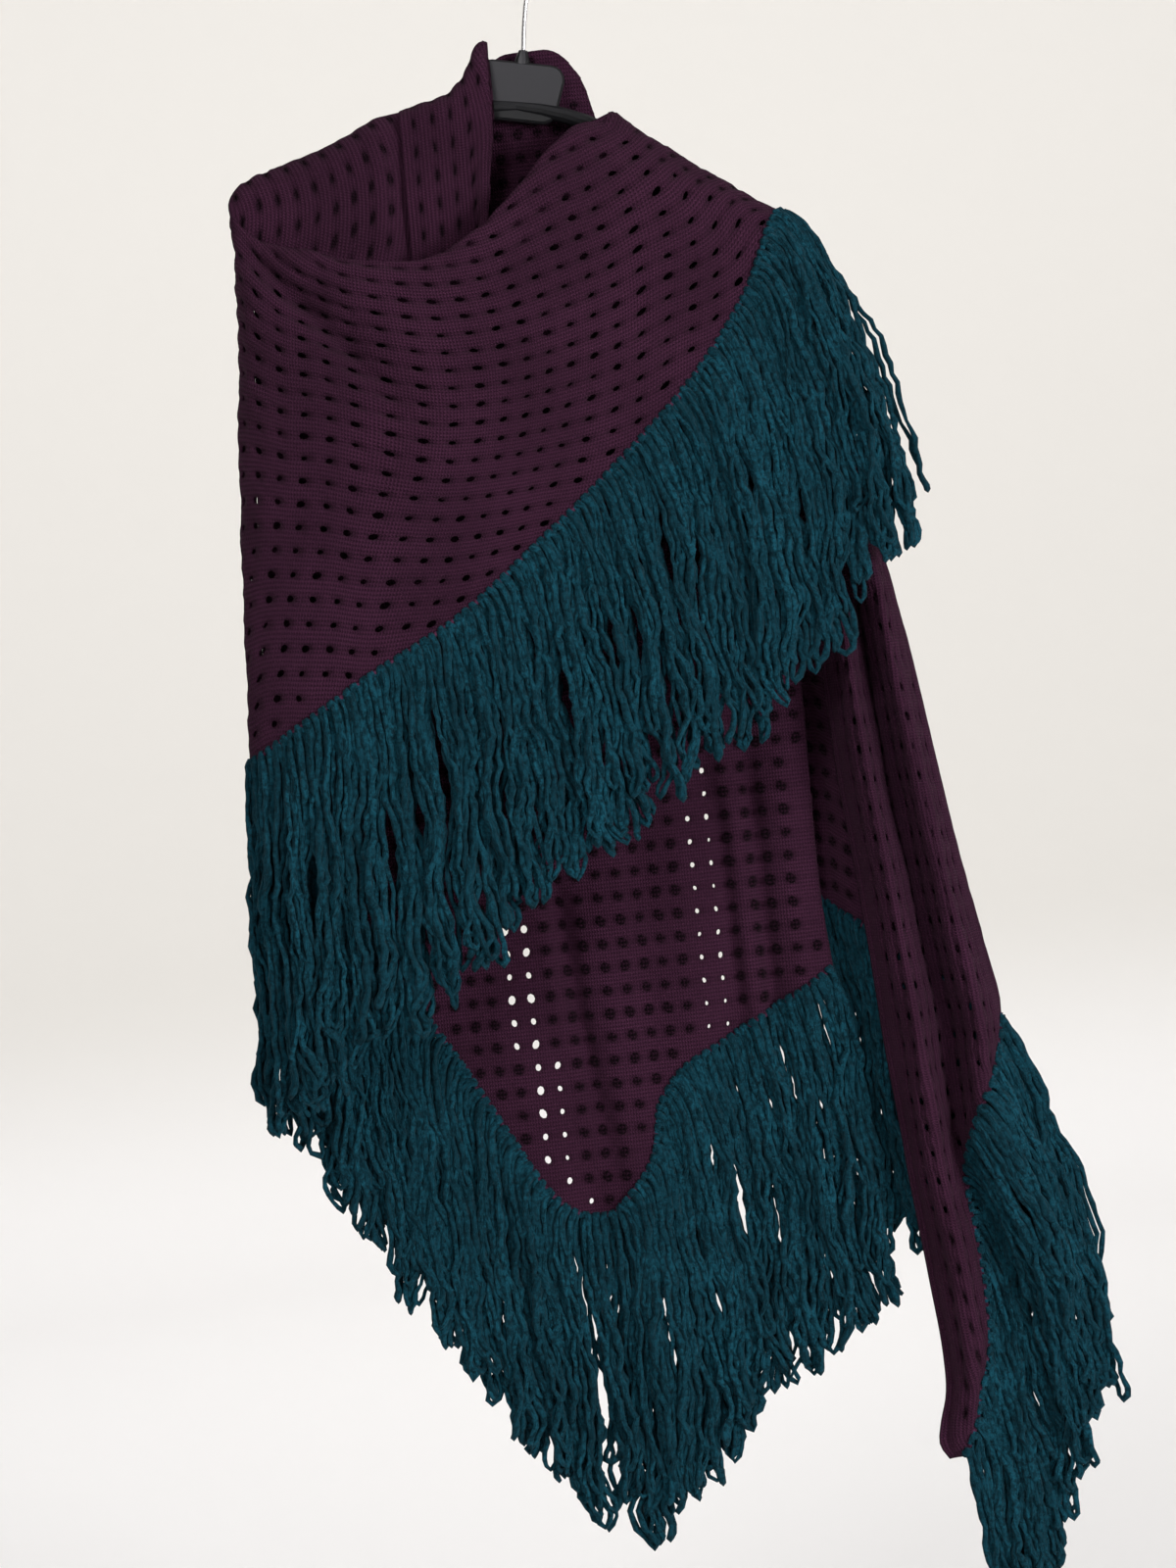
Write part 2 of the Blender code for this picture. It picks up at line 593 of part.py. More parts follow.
def back_side_grid():
    sections = []
    for fold_x, fold_y, left_z, edge_x, right_x, right_y, right_z in BACK_SIDE:
        shallow = min(1.0, max(0.0, (fold_y - 17.0) / 15.0))
        bend_y = fold_y - 15 * shallow
        places = ((fold_x, fold_y - 2 * shallow), (fold_x + 9, fold_y), (edge_x - 3, fold_y - 3 * shallow),
                  (edge_x, (fold_y + bend_y) / 2), (edge_x + 6, bend_y),
                  (edge_x + 16, (bend_y + right_y) / 2),
                  ((edge_x + right_x) / 2 + 8, right_y + 0.5), (right_x, right_y))
        section = []
        for x, y in places:
            level = left_z + (right_z - left_z) * (x - fold_x) / (right_x - fold_x)
            section.append((x, y, level or tail_foot(x)))
        sections.append(section)
    grid = subdivide(np.array(sections), [1, 1, 1, 2, 2, 2])
    return subdivide(grid.transpose(1, 0, 2), [1, 1, 1, 1, 1, 2, 2]).transpose(1, 0, 2)


def back_panel_grid(along=12):
    edge = [(x + WRAP_FOLD_BACK_INSET + SEAM_GAP, WRAP_FOLD_DEPTH, z) for x, z in WRAP_FOLD]
    drop = BACK_MARGIN * BACK_HEM_SLOPE / (WRAP_FOLD[0][1] - WRAP_FOLD[-1][1])
    beside = [(x + WRAP_FOLD_BACK_INSET + BACK_MARGIN, WRAP_FOLD_DEPTH, z - drop * (WRAP_FOLD[0][1] - z))
              for x, z in WRAP_FOLD]
    sections = [resample(edge, along), resample(beside, along)]
    for top_x, top_y, top_z, hem_x, hem_y, hem_z, bow in BACK_PANEL:
        top_z = top_z or tail_foot(top_x)
        section = []
        for share in np.linspace(0, 1, along):
            section.append((top_x + (hem_x - top_x) * share + bow * math.sin(math.pi * share) ** 2,
                            top_y + (hem_y - top_y) * share, top_z + (hem_z - top_z) * share))
        sections.append(section)
    return np.array(sections)


# ---------------------------------------------------------------- fringe

def columns_at(table, share):
    rows = np.array(table, float)
    return [float(np.interp(share, rows[:, 0], rows[:, column])) for column in range(1, rows.shape[1])]


def unit(vector):
    return vector / max(np.linalg.norm(vector), 1e-9)


def hem_frames(hem, inner, pitch):
    """Places along a hem with its direction, the way out of the cloth, and the face's direction."""
    run = lengths_along(hem)
    length = run[-1] - 2 * STRIP_TRIM
    count = max(3, round(length / pitch))
    gap_length = (length - count * LOCK_WIDTH) / (count - 1)
    stops = [STRIP_TRIM]
    for cell in range(count * 2 - 1):
        stops.append(stops[-1] + (gap_length if cell % 2 else LOCK_WIDTH))
    edge, inside = (np.stack([np.interp(stops, run, line[:, axis]) for axis in range(3)], axis=1)
                    for line in (hem, inner))
    frames = []
    for place, point in enumerate(edge):
        ahead = unit(edge[min(place + 1, len(edge) - 1)] - edge[max(place - 1, 0)])
        out = point - inside[place]
        out = unit(out - ahead * float(out @ ahead))
        frames.append((point, ahead, out, np.cross(ahead, out), stops[place] / run[-1]))
    return frames


def lock_rings(frame, gap, depth_shift, tip, push, width, over_shoulder):
    """Four-sided rings of one lock, from its root out of the hem and down to its tip."""
    point, ahead, out, facing = frame[:4]
    root = point + out * (gap + STRIP_HEIGHT)
    reach = tip - root
    shift = np.array([0.0, depth_shift * (1 - ahead[1] ** 2), 0.0])
    if over_shoulder:
        shift = facing * depth_shift
    rings = []
    for along, share in ((0.12, 0.85), (0.42, 1.0), (0.84, 0.85)):
        first = root + out * push * 0.55
        last = tip - np.array([reach[0] * 0.2, 0.0, reach[2] * 0.62])
        rest = 1 - along
        place = rest**3 * root + 3 * rest**2 * along * first + 3 * rest * along**2 * last + along**3 * tip
        heading = unit(3 * rest**2 * (first - root) + 6 * rest * along * (last - first)
                       + 3 * along**2 * (tip - last))
        aside = unit(ahead - heading * float(heading @ ahead) + np.cross(heading, facing))
        facing_here = np.cross(aside, heading)
        place = place + shift
        half_width, half_depth = aside * width / 2 * share, facing_here * LOCK_DEPTH / 2 * share
        rings.append([place - half_width + half_depth, place - half_width - half_depth,
                      place + half_width - half_depth, place + half_width + half_depth])
    return rings, tip + shift


def add_fringe(name, hem, inner, table, pitch, look, lock_width, layers=FRONT_AND_BACK,
               over_shoulder=False, gap=STRIP_GAP):
    """Narrow strip along the hem with locks that grow from every second cell of its lower face."""
    frames = hem_frames(hem, inner, pitch)
    vertices, faces = [], []
    for point, ahead, out, facing, share in frames:
        near = point + out * gap
        far = near + out * STRIP_HEIGHT
        half = facing * STRIP_THICKNESS / 2
        vertices += [near + half, near - half, far - half, far + half]
    faces += [(0, 1, 2, 3), tuple(len(vertices) - 4 + k for k in (3, 2, 1, 0))]
    for cell in range(len(frames) - 1):
        a, b = cell * 4, cell * 4 + 4
        faces += [(a, b, b + 1, a + 1), (a + 1, b + 1, b + 2, a + 2), (a + 3, b + 3, b, a)]
        if cell % 2:
            faces.append((a + 2, b + 2, b + 3, a + 3))
            continue
        lock = cell // 2
        middle = [(frames[cell][part] + frames[cell + 1][part]) / 2 for part in range(4)]
        middle[1:] = [unit(part) for part in middle[1:]]
        share = (frames[cell][4] + frames[cell + 1][4]) / 2
        tip_dx, tip_y, tip_dz, push = columns_at(table, share)
        uneven = TIP_UNEVENNESS * math.sin(lock * 2.4) * math.cos(lock * 0.9 + 0.5)
        tip = np.array([middle[0][0] + tip_dx + uneven * TIP_SWAY, tip_y, middle[0][2] + tip_dz + uneven])
        rings, tip = lock_rings(middle, gap, layers[lock % len(layers)], tip, push,
                                lock_width, over_shoulder)
        ring_at = [a + 3, a + 2, b + 2, b + 3]
        for ring in rings:
            base = len(vertices)
            vertices += ring
            for k in range(4):
                m = (k + 1) % 4
                faces.append((ring_at[k], ring_at[m], base + m, base + k))
            ring_at = [base + k for k in range(4)]
        vertices.append(tip)
        for k in range(4):
            faces.append((ring_at[k], ring_at[(k + 1) % 4], len(vertices) - 1))
    return add_object(name, vertices, faces, look)


# ---------------------------------------------------------------- the shawl on its hanger

def main():
    for thing in list(bpy.data.objects):
        bpy.data.objects.remove(thing, do_unlink=True)
    knit = material("aubergine_knit", (0.052, 0.020, 0.038), 0.92)
    yarn = material("petrol_yarn", (0.011, 0.047, 0.066), 0.95)
    plastic = material("grey_plastic", (0.09, 0.09, 0.095), 0.35)
    wire = material("hook_wire", (0.55, 0.55, 0.56), 0.3, 1.0)

    build_hanger(plastic, wire)
    add_wall("left_shoulder", left_shoulder_grid(), knit)
    add_wall("neck_fall", neck_fall_grid(), knit)
    wrap, thrown = front_wrap_grid(), thrown_end_grid()
    tail, side, back = right_tail_grid(), back_side_grid(), back_panel_grid()
    for name, grid in (("front_wrap", wrap), ("thrown_end", thrown), ("right_tail", tail),
                       ("back_side", side), ("back_panel", back)):
        add_wall(name, grid, knit)

    apex = int(np.argmin(back[:, -1, 2]))
    add_fringe("fringe_front", wrap[3:, -1], wrap[3:, -2], FRINGE_FRONT, FRINGE_PITCH, yarn, 6.6,
               over_shoulder=True)
    add_fringe("fringe_back_left", back[1:apex + 1, -1], back[1:apex + 1, -2], FRINGE_BACK_LEFT,
               FRINGE_PITCH + 1, yarn, 5.4)
    add_fringe("fringe_back_right", back[apex:, -1], back[apex:, -2], FRINGE_BACK_RIGHT,
               FRINGE_PITCH, yarn, 5.0)
    add_fringe("fringe_back_side", side[-1, SIDE_HEM_START:], side[-2, SIDE_HEM_START:],
               FRINGE_BACK_SIDE, FRINGE_PITCH, yarn, 5.0, BEHIND)
    start = int(np.argmin(np.abs(tail[:, -1, 2] - TAIL_HEM_START_Z)))
    add_fringe("fringe_tail", tail[start:, -1], tail[start:, -2], FRINGE_TAIL,
               TAIL_FRINGE_PITCH, yarn, 3.8, gap=1.8)
    add_fringe("fringe_thrown_end", thrown[4:, -1], thrown[4:, -2], FRINGE_THROWN_END,
               STEEP_FRINGE_PITCH, yarn, 4.8)


main()
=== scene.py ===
"""Looks of a fringed openwork shawl on a hanger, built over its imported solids.

Tables are in millimetres and repeat the solids' own. Rows of holes are numbered across the knit and
columns along a row, so a whole column and a whole row meet at a hole.
"""
import math

import bpy
import numpy as np
from bpy.props import FloatProperty, FloatVectorProperty, IntProperty, PointerProperty
from mathutils import Matrix, Vector


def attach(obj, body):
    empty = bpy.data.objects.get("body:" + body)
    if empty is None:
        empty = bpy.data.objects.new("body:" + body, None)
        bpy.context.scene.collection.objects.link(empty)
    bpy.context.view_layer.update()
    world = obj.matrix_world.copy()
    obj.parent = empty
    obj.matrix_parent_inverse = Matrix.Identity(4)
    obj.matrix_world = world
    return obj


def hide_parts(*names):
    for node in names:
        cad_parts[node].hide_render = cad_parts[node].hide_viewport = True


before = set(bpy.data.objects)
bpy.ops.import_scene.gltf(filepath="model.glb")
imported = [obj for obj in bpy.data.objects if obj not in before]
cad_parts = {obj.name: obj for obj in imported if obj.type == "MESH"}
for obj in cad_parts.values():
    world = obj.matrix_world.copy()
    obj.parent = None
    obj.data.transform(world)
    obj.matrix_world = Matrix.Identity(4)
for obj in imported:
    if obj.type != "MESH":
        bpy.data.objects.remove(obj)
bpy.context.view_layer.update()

bl_info = {
    "name": "Openwork Shawl",
    "version": (1, 0, 0),
    "blender": (4, 5, 0),
    "location": "3D View > Sidebar > Shawl",
    "description": "Dresses a fringed knit shawl and its hanger",
    "category": "Object",
}

MM = 0.001

# Cloth
CLOTH_THICKNESS = 2.4
SEAM_GAP = 0.3
FOOT_GAP = 0.8                  # between a stretch that lies over an arm and the back under its foot
LAYER_STEP = 4.0                # the wrap's mid-surface above the layer under it, on the right arm

# Right arm: the line of the cloth's outer face over it, seen from the front
RIGHT_RIDGE = (                 # x, z
    (32, -140), (50, -145), (73, -166), (100, -187), (134, -212), (172, -237.5),
)

# Left arm: the cloth lies over it and falls into the hollow behind the wrap
LEFT_SHOULDER = (               # top x, top z, arch depth, arch height, low x, low y, low z
    (-240, -187, 12, 3, -238, -11.5, -226), (-237, -179, 12.5, 9, -234.5, -12, -240),
    (-227, -171, 13.5, 14, -225, -13, -258), (-197, -160.8, 16, 16, -197, -20, -278),
    (-167, -151.6, 16, 16, -168, -23.5, -296), (-146, -142.9, 16, 16, -147, -27, -303),
    (-126, -134.6, 16, 16, -127, -29, -305), (-106.5, -130.4, 16, 16, -108.5, -19, -305),
)

# Neck: the cloth stands up beside the hook, folds over the plate's corner and falls in front
ARCH_DEGREES = (-68, -35, 0, 35, 68)
SHOULDER_SHARES = (0.12, 0.4, 0.7, 1.0)
NECK_FRONT_Y = -16.5
NECK_SHARES = (0.35, 0.68, 1.0)
NECK_FALL = (                   # top x, top z, crown half depth, low x, low y, low z
    (-107.6, -130.2, 16.4, -109.6, -21.5, -305), (-90, -125.5, 16, -94, -28, -303),
    (-74, -121, 15, -82, -26.5, -299), (-60, -111, 13, -71, -24, -293), (-51, -99, 11, -64.5, -25, -288),
    (-45.5, -89, 10, -61, -27.5, -281), (-41, -84.5, 9, -58.5, -29.5, -275),
    (-38, -86, 9, -57, -30, -271),
)

# Wrap: from the left fold across the front to the right shoulder
WRAP_FOLD = (                   # x, z of the fold's outermost line
    (-240.5, -196), (-240.5, -223), (-243, -274), (-250, -346), (-256, -419), (-262, -506), (-268, -600),
)
WRAP_FOLD_BACK_INSET = 10.0
WRAP_FOLD_DEPTH = 16.5
WRAP_FOLD_SECTIONS = (          # inset from the fold's outermost line, y
    (WRAP_FOLD_BACK_INSET, WRAP_FOLD_DEPTH), (WRAP_FOLD_BACK_INSET - 4, WRAP_FOLD_DEPTH),
    (1.6, WRAP_FOLD_DEPTH - 6.5), (0, 0), (2.2, -12),
)
WRAP_SHARES = (0.0, 0.15, 0.35, 0.6, 0.8, 1.0)
FRONT_WRAP = (                  # rim x, y, z, turn of the rim's lip, hem x, y, z, belly, lean
    (-229, -27, -209, 0, -250, -25, -592, 4, 0), (-207, -37, -225, 45, -221, -38, -576, 6, 0),
    (-160, -50, -243, 125, -170, -48, -547, 9, 0), (-100, -56, -251, 135, -104, -52, -513, 10, 0),
    (-50, -54, -227, 135, -37, -53, -463, 9, 2), (0, -42, -177, 110, 30, -51, -408, 8, 4),
    (20, -34, -160, 50, 85, -47, -357, 6, 4), (34, -27, -157, 0, 136, -36, -290, 4, 3),
)
LIP_LENGTH = 12.0               # the rim's edge, which curls in towards the neck
LIP_STEPS = 4
STRAIGHT = 1e-4                 # turn in radians that counts as none
WRAP_POINTS = 13
WRAP_SHOULDER_RIM_X = (40, 57)  # where the rim crosses the shoulder's front and its top
WRAP_SHOULDER_HEM_X = (157, 170)
WRAP_OVER_SHOULDER = (          # share of the way over, y, drop below the ridge
    (0, -23.5, 16), (0.35, -16.5, 6), (0.75, -6, 0.4), (0.95, -1, 0), (1, 0, 0),
)

# The crease that runs from the left corner down across the wrap
CREASE_START = (-236, -214)
CREASE_END = (-128, -350)
CREASE_DEPTH = 15.0
CREASE_WIDTH = 12.5

# Thrown end: the wrap's tip, down the back from the right shoulder
THROWN_OVER_SHOULDER = ((SEAM_GAP, 0), (4, 0), (14, 5.5), (20, 14))      # y, drop below the ridge
THROWN_POINTS = 7
THROWN_END = (                  # rim x, y, z, hem x, y, z
    (69, 22.5, -178, 171, 22.5, -261), (78, 33, -232, 164, 35, -302), (90, 42.5, -302, 149, 43.5, -352),
    (100, 44, -372, 131, 44.5, -402), (107.5, 44.5, -430, 114, 44.5, -436),
)

# Right tail: from the right arm down in front, in two deep folds
TAIL_TOP_X = (46, 160)
TAIL_POINTS = 13
TAIL_FOOT = (17.0, 26)          # y, drop below the ridge, behind the arm
TAIL_ARCH = (
    (17, 22), (15.3, 12), (10.5, 4), (0, 0), (-10.5, 4), (-15.3, 12), (-17.5, 26),
)
RIGHT_TAIL = (                  # left x, z, end x, z, end share, back y, fold depth
    (56, -205, 170, -292, 1, -17, 5), (86, -300, 184, -352, 1, -12, 12),
    (124, -405, 200, -422, 1, -5, 22), (151, -478, 211, -474, 1, 0, 30), (160, -535, 222, -527, 1, 4, 34),
    (163, -590, 231, -590, 1, 6, 36), (166, -661, 241, -664, 1, 6, 36), (172, -734, 251, -734, 1, 6, 36),
    (176, -800, 262, -797, 1, 6, 36), (179, -848, 267, -843, 0.97, 6, 36),
    (181, -878, 259, -872, 0.9, 6, 36), (183, -903, 249, -896, 0.8, 6, 35),
    (185, -928, 238, -922, 0.67, 5, 34), (187, -960, 230, -958, 0.54, 4, 32),
    (191, -1005, 231, -1010, 0.46, 2, 30), (195, -1048, 233, -1055, 0.44, 1, 28),
    (198, -1090, 229, -1094, 0.4, 0, 24), (197, -1120, 221, -1117, 0.36, -2, 18),
    (190, -1142, 216, -1139, 0.34, -4, 14), (188, -1157, 210, -1154, 0.3, -6, 9),
    (194, -1167, 205, -1165, 0.2, -7, 5),
)
TAIL_STEPS = (2, 2, 2, 1, 1, 2, 2, 2, 1, 2, 2, 2, 2)      # from one row to the next, then 1

# Back of the right wing: a deep fold behind the gap, then flat to the outer fold
FLAT_Y = 17.0                   # depth at which the side lies flat, and how deep its fold goes
SIDE_FOLD = 15.0
BACK_SIDE = (                   # fold x, y, left z, edge x, right x, y, right z
    (97, 17, 0, 112, 160, 17, 0), (104, 23.5, -262, 124, 170, 14.5, -297),
    (114, 26, -330, 138, 184, 11.5, -356), (125, 32, -415, 149, 199, 9.5, -424),
    (135, 36, -520, 157, 220, 9.3, -525), (138, 38, -640, 159, 237, 9.3, -640),
    (139, 38, -742, 159, 266, 9.3, -838),
)

# Back panel: one layer, hung from both arms and the neck
BACK_MARGIN = 7.0               # flat strip beside the left fold
BACK_HEM_SLOPE = 2.2            # its hem's fall for its width
BACK_POINTS = 12
BACK_PANEL = (                  # top x, y, z, hem x, y, z, middle x shift
    (-197, 16.5, -181.3, -214, 20, -702, -2), (-167, 16.5, -171, -176, 23, -776, 0),
    (-146, 16.5, -163.5, -149, 24, -821, 0), (-126, 16.5, -156, -126, 24.5, -862, 0),
    (-106.2, 16.5, -151, -104, 22, -903, 0), (-90, 16.5, -147.6, -84, 21, -939, 0),
    (-74, 16.5, -141, -69, 22, -957, 0), (-60, 16.5, -132, -56, 26, -964, -3),
    (-48, 15.5, -117, -45, 29, -966, -6), (-37, 13.5, -101, -34, 24, -964, -4),
    (-30, 12.5, -94, -20, 19, -951, 0), (-8, 12, -92.5, -3, 20, -930, 0), (14, 12.5, -96, 9, 24, -887, 0),
    (30, 14.5, -118, 30, 22, -861, 0), (45, 17, -177, 54, 25, -848, 0), (55.5, 17, 0, 74, 31, -838, 0),
    (65, 17, 0, 87, 23, -831, 0), (74.5, 17, 0, 101, 31, -824, 5), (84, 17, 0, 124, 18, -812, 12),
    (93.5, 17, 0, 148, 24, -797, 22),
)                               # a top z of 0 takes the height of the tail's foot

# Fringe: where the strands' tips hang, at shares of each hem's length
FRINGE_FRONT = (                # share of the hem, tip dx, y, dz, push
    (0, -8, -6, -268, 8), (0.03, -9, -28, -270, 12), (0.07, -8, -48, -276, 24), (0.12, -6, -54, -276, 30),
    (0.22, 4, -60, -262, 34), (0.38, 22, -62, -222, 34), (0.52, 26, -62, -236, 34),
    (0.66, 32, -62, -240, 34), (0.78, 38, -60, -254, 34), (0.88, 44, -58, -262, 38),
    (0.93, 54, -54, -264, 40), (0.96, 64, -44, -262, 40), (1, 80, -22, -258, 40),
)
FRINGE_BACK_LEFT = (
    (0, -12, 20, -262, 20), (0.2, -2, 24, -268, 26), (0.45, -2, 27, -264, 30), (0.7, 0, 28, -250, 32),
    (1, 6, 29, -243, 34),
)
FRINGE_BACK_RIGHT = (
    (0, 6, 29, -246, 24), (0.2, 12, 28, -256, 20), (0.36, 30, 28, -266, 20), (0.5, 30, 28, -258, 28),
    (0.75, 26, 27, -256, 30), (1, 24, 27, -246, 26),
)
FRINGE_BACK_SIDE = (
    (0, 20, 34, -250, 8), (0.2, 26, 24, -250, 8), (1, 32, 18, -240, 12),
)
FRINGE_TAIL = (
    (0, 49, -8, -242, 20), (0.165, 54, -14, -246, 26), (0.25, 59, -16, -242, 30),
    (0.36, 58, -15, -238, 32), (0.51, 42, -14, -230, 32), (0.645, 24, -14, -226, 26),
    (0.8, 17, -14, -226, 22), (1, 15, -14, -228, 12),
)
FRINGE_THROWN_END = (
    (0, 30, 52, -232, 24), (0.35, 28, 54, -240, 26), (0.7, 16, 54, -240, 24), (1, 6, 54, -236, 20),
)
TAIL_HEM_START_Z = -846
WRAP_HEM_START = 3              # the wrap's first section that carries fringe, round the left fold

# Rows and columns of eyelets on the wrap, to the nearest half: a section of the grid, then rows at its
# rim, at each third and at its hem, then columns at its rim, in the middle and at its hem
WRAP_COLUMN_PITCH = 18.0
WRAP_KNIT = (
    (5, 7.5, 15, 22, 29, -1.5, -1, 1), (7, 6.5, 14.5, 21.5, 28, 0, 0.5, 2.5),
    (9, 5, 13.5, 20, 26, 3, 3, 5), (11, 4.5, 11.5, 18, 24, 6, 5.5, 8), (13, 3, 9, 15, 21, 9, 8.5, 11),
    (15, 1.5, 6.5, 12, 17.5, 12, 12, 13.5), (17, 1, 5.5, 10.5, 15.5, 13.5, 14, 16),
    (19, 1, 5, 8.5, 12.5, 14.5, 15.5, 18.5), (21, 1.5, 4.5, 7.5, 10.5, 15, 17.5, 20),
    (24, 1.5, 4.5, 7.5, 10.5, 16, 18.5, 21),
)
SUB_STEPS = (4, 6)              # steps of the mesh from one column and one row to the next
REFINE = 4
LOST_PLACE = 0.08               # miss, in columns or rows, from which a place is not on the cloth
FIRST_GUESSES = 24              # places along each way of a grid from which the search starts
SEARCH_STEPS = 14
LONGEST_STEP = 12
SEARCH_MARGIN = 20              # how far past its borders a grid is searched
BATCH = 2000
WRAP_RELIEF = (((0, 5, 7, 17, 20, 24), (0.8, 1.0, 2.6, 2.4, 1.4, 0.8)),  # section, relief
               ((2, 13, 20), (1.0, 0.85, 0.5)))                         # row, factor on the relief
FRONT, BACK = (0, -1, 0), (0, 1, 0)
KNIT_LAYOUT = {                 # pitch along and across rows, first column and row, rows run down the
                                # grid, hole, relief, outward
    "left_shoulder": ((23.0, 14.3), (0.2, 0.4), True, (6.8, 4.4), 0.7, FRONT),
    "neck_fall": ((21.0, 14.5), (0.3, 0.3), True, (6.8, 4.2), 0.7, FRONT),
    "front_wrap": ((18.0, 15.5), (0.0, 0.0), False, (6.0, 4.6), WRAP_RELIEF, FRONT),
    "thrown_end": ((22.0, 14.0), (0.4, 0.3), False, (6.4, 4.4), 1.0, BACK),
    "right_tail": ((22.0, 14.5), (0.2, 0.5), False, (6.4, 4.4), 2.0, FRONT),
    "back_side": ((14.5, 17.4), (0.3, 0.4), True, (5.0, 6.4), 1.0, BACK),
    "back_panel": ((14.5, 17.4), (0.5, 0.2), False, (5.0, 6.4), 1.2, BACK),
}
SHEETS = {                      # width, length and area of the flat cut, hold, rests on, fringes on it
    "left_shoulder": (0.168, 0.212, 0.0216, "draped", ["hanger_body"], []),
    "neck_fall": (0.089, 0.227, 0.0146, "draped", ["hanger_body"], []),
    "front_wrap": (0.638, 0.405, 0.1265, "draped", ["hanger_body", "knit_left_shoulder"],
                   ["fringe_front"]),
    "thrown_end": (0.295, 0.141, 0.0184, "draped", ["hanger_body", "knit_right_tail"],
                   ["fringe_thrown_end"]),
    "right_tail": (0.170, 1.085, 0.1222, "hung", ["hanger_body"], ["fringe_tail"]),
    "back_side": (0.167, 0.587, 0.0474, "hung", ["hanger_body"], ["fringe_back_side"]),
    "back_panel": (0.712, 0.863, 0.257, "hung", ["hanger_body"],
                   ["fringe_back_left", "fringe_back_right"]),
}
GAPING = {                      # x from, to, z from, to, sideways for each mm further down, share
    "knit_back_panel": ((-106, -77, -965, -735, 0.12, 1.0), (-77, -60, -965, -860, 0.12, 0.75),
                        (37, 66, -850, -630, 0.0, 0.66)),
    "knit_back_side": (),
}
ARM_REST = (24.0, -262.0)       # half depth and height within which eyelets lie shut on an arm
TAIL_TIP_SHUT = -1000.0
ROUND_ABOUT = ((1, 0), (-1, 0), (0, 1), (0, -1), (.7, .7), (-.7, .7), (.7, -.7), (-.7, -.7))
PIT_DEPTH = 3.2
EYELET_SIZE = (0.78, 0.44)      # least size of an eyelet, and how much more it may have
EYELET_LEAN = 0.7
GROOVE_WIDTH = 0.17             # in rows, along each row of eyelets
DIMPLE_WIDTH = 4.5
DIMPLE_DEPTH = 0.7
RIPPLES = ((0.9, 46.0, 0), (0.35, 13.0, 3))        # height, wavelength, seed
# Painted shade: how dark the rims of open and closed eyelets and the rows' grooves are painted
RIM_SHADE, SHUT_RIM_SHADE, GROOVE_SHADE = 0.35, 0.6, 0.3
FURROWS = {                     # start x, z, end x, z, depth, width of sharp creases seen from the front
    "back_panel": ((-57, -700, -29, -940, 6.0, 7.0), (76, -670, 77, -815, 4.5, 6.0),
                   (101, -640, 102, -835, 4.5, 6.0)),
    "front_wrap": ((-236, -216, -140, -335, 6.0, 7.0),),
    "left_shoulder": ((-110, -136, -112, -330, 5.5, 8.0),),
}
PLATE_TILT = math.radians(12)
PLATE_TOP = (-13.3, -103.1)     # x, z of the middle of the plate's upper edge
PLATE_FACE = 36.0               # height of the plate's lighter face
WALE_WIDTH = 0.0029
COURSE_HEIGHT = 0.0021
YARN_TWIST = 0.016
CORD_TWIST = 0.0075

# Strands of the fringe
TUFT_PITCH = 7.5
CLUMP_TUFTS = 2.8
CLUMP_MIX = 0.16                # how far, in clumps, a strand may join its neighbours
STRAY_SHARE = 0.13
STRAY_REACH = 15.0
CRIMP_LENGTH = 24.0
STRAND_SIDES = 4
STITCH_REACH = 2.6              # how far the tufts' stitches reach in over the edge
CORD_STEP = 1.9
CORD_WIDTH = 4.2
FRINGE_LAYOUT = {               # table, loops from a tuft, factor on the tufts' pitch, share of gathering,
                                # share by which tips are uneven, spread of the tips in depth and sideways
    "fringe_front": (FRINGE_FRONT, 3, 1.0, 1.0, 0.22, 9.0, 2.4),
    "fringe_back_left": (FRINGE_BACK_LEFT, 4, 1.1, 0.7, 0.22, 9.0, 2.4),
    "fringe_back_right": (FRINGE_BACK_RIGHT, 4, 1.0, 0.62, 0.22, 9.0, 2.4),
    "fringe_back_side": (FRINGE_BACK_SIDE, 4, 1.1, 0.6, 0.2, 8.0, 2.4),
    "fringe_tail": (FRINGE_TAIL, 4, 1.4, 0.8, 0.2, 9.0, 3.0),
    "fringe_thrown_end": (FRINGE_THROWN_END, 2, 1.5, 0.9, 0.2, 6.0, 2.4),
}
SWAY_LENGTH, NOD_LENGTH, CLUMP_LENGTH = 85.0, 75.0, 150.0
TIP_LEVEL = 9.0                 # how far a clump's tips hang above or below the table's
TIP_EXCESS = 6.0                # how far a tip may hang below the table's
ROOT_LENGTH = 2.0
LOOP_GAP = (2.0, 3.4)           # between a loop's two legs
TIP_GAP = 3.2                   # what may be added to it near the tip
STITCH = ((STITCH_REACH, 1.0), (0.6, 2.6))         # reach back over the hem, height above it
BEAD = 0.16                     # share by which a cord's or strand's thickness changes
BEAD_LENGTH = 30.0
CORD_SIDES = 8
FIRST_SEED = 11

# Stage
FLOOR_Z = -1.62
BOWL_RADIUS = 6.5
BOWL_BEND = 2.2
BOWL_TOP = 5.0
WORLD_STRENGTH = 0.3
BOWL_SIDES = 96
BOWL_STEPS = 12
SKY = (1.0, 0.99, 0.975, 1.0)
HORIZON = (-1.6, -1.0)          # heights between which the floor's colour turns to the backdrop's
LIGHTS = (                      # name, place, aim, size in m, power in W
    ("key", (-0.9, -2.9, 0.9), (0.0, 0.0, -0.6), (0.8, 0.8), 50.0),
    ("fill", (2.0, -2.5, -0.4), (0.1, 0.0, -0.8), (0.9, 0.9), 112.0),
    ("top", (-0.2, -0.9, 2.4), (0.0, 0.0, -0.4), (1.4, 1.0), 14.0),
    ("back_wash", (0.0, 2.2, 2.6), (0.0, 6.0, 0.0), (4.0, 2.0), 120.0),
)
CAMERA_PLACE = (-0.0205, -2.4, -0.6414)
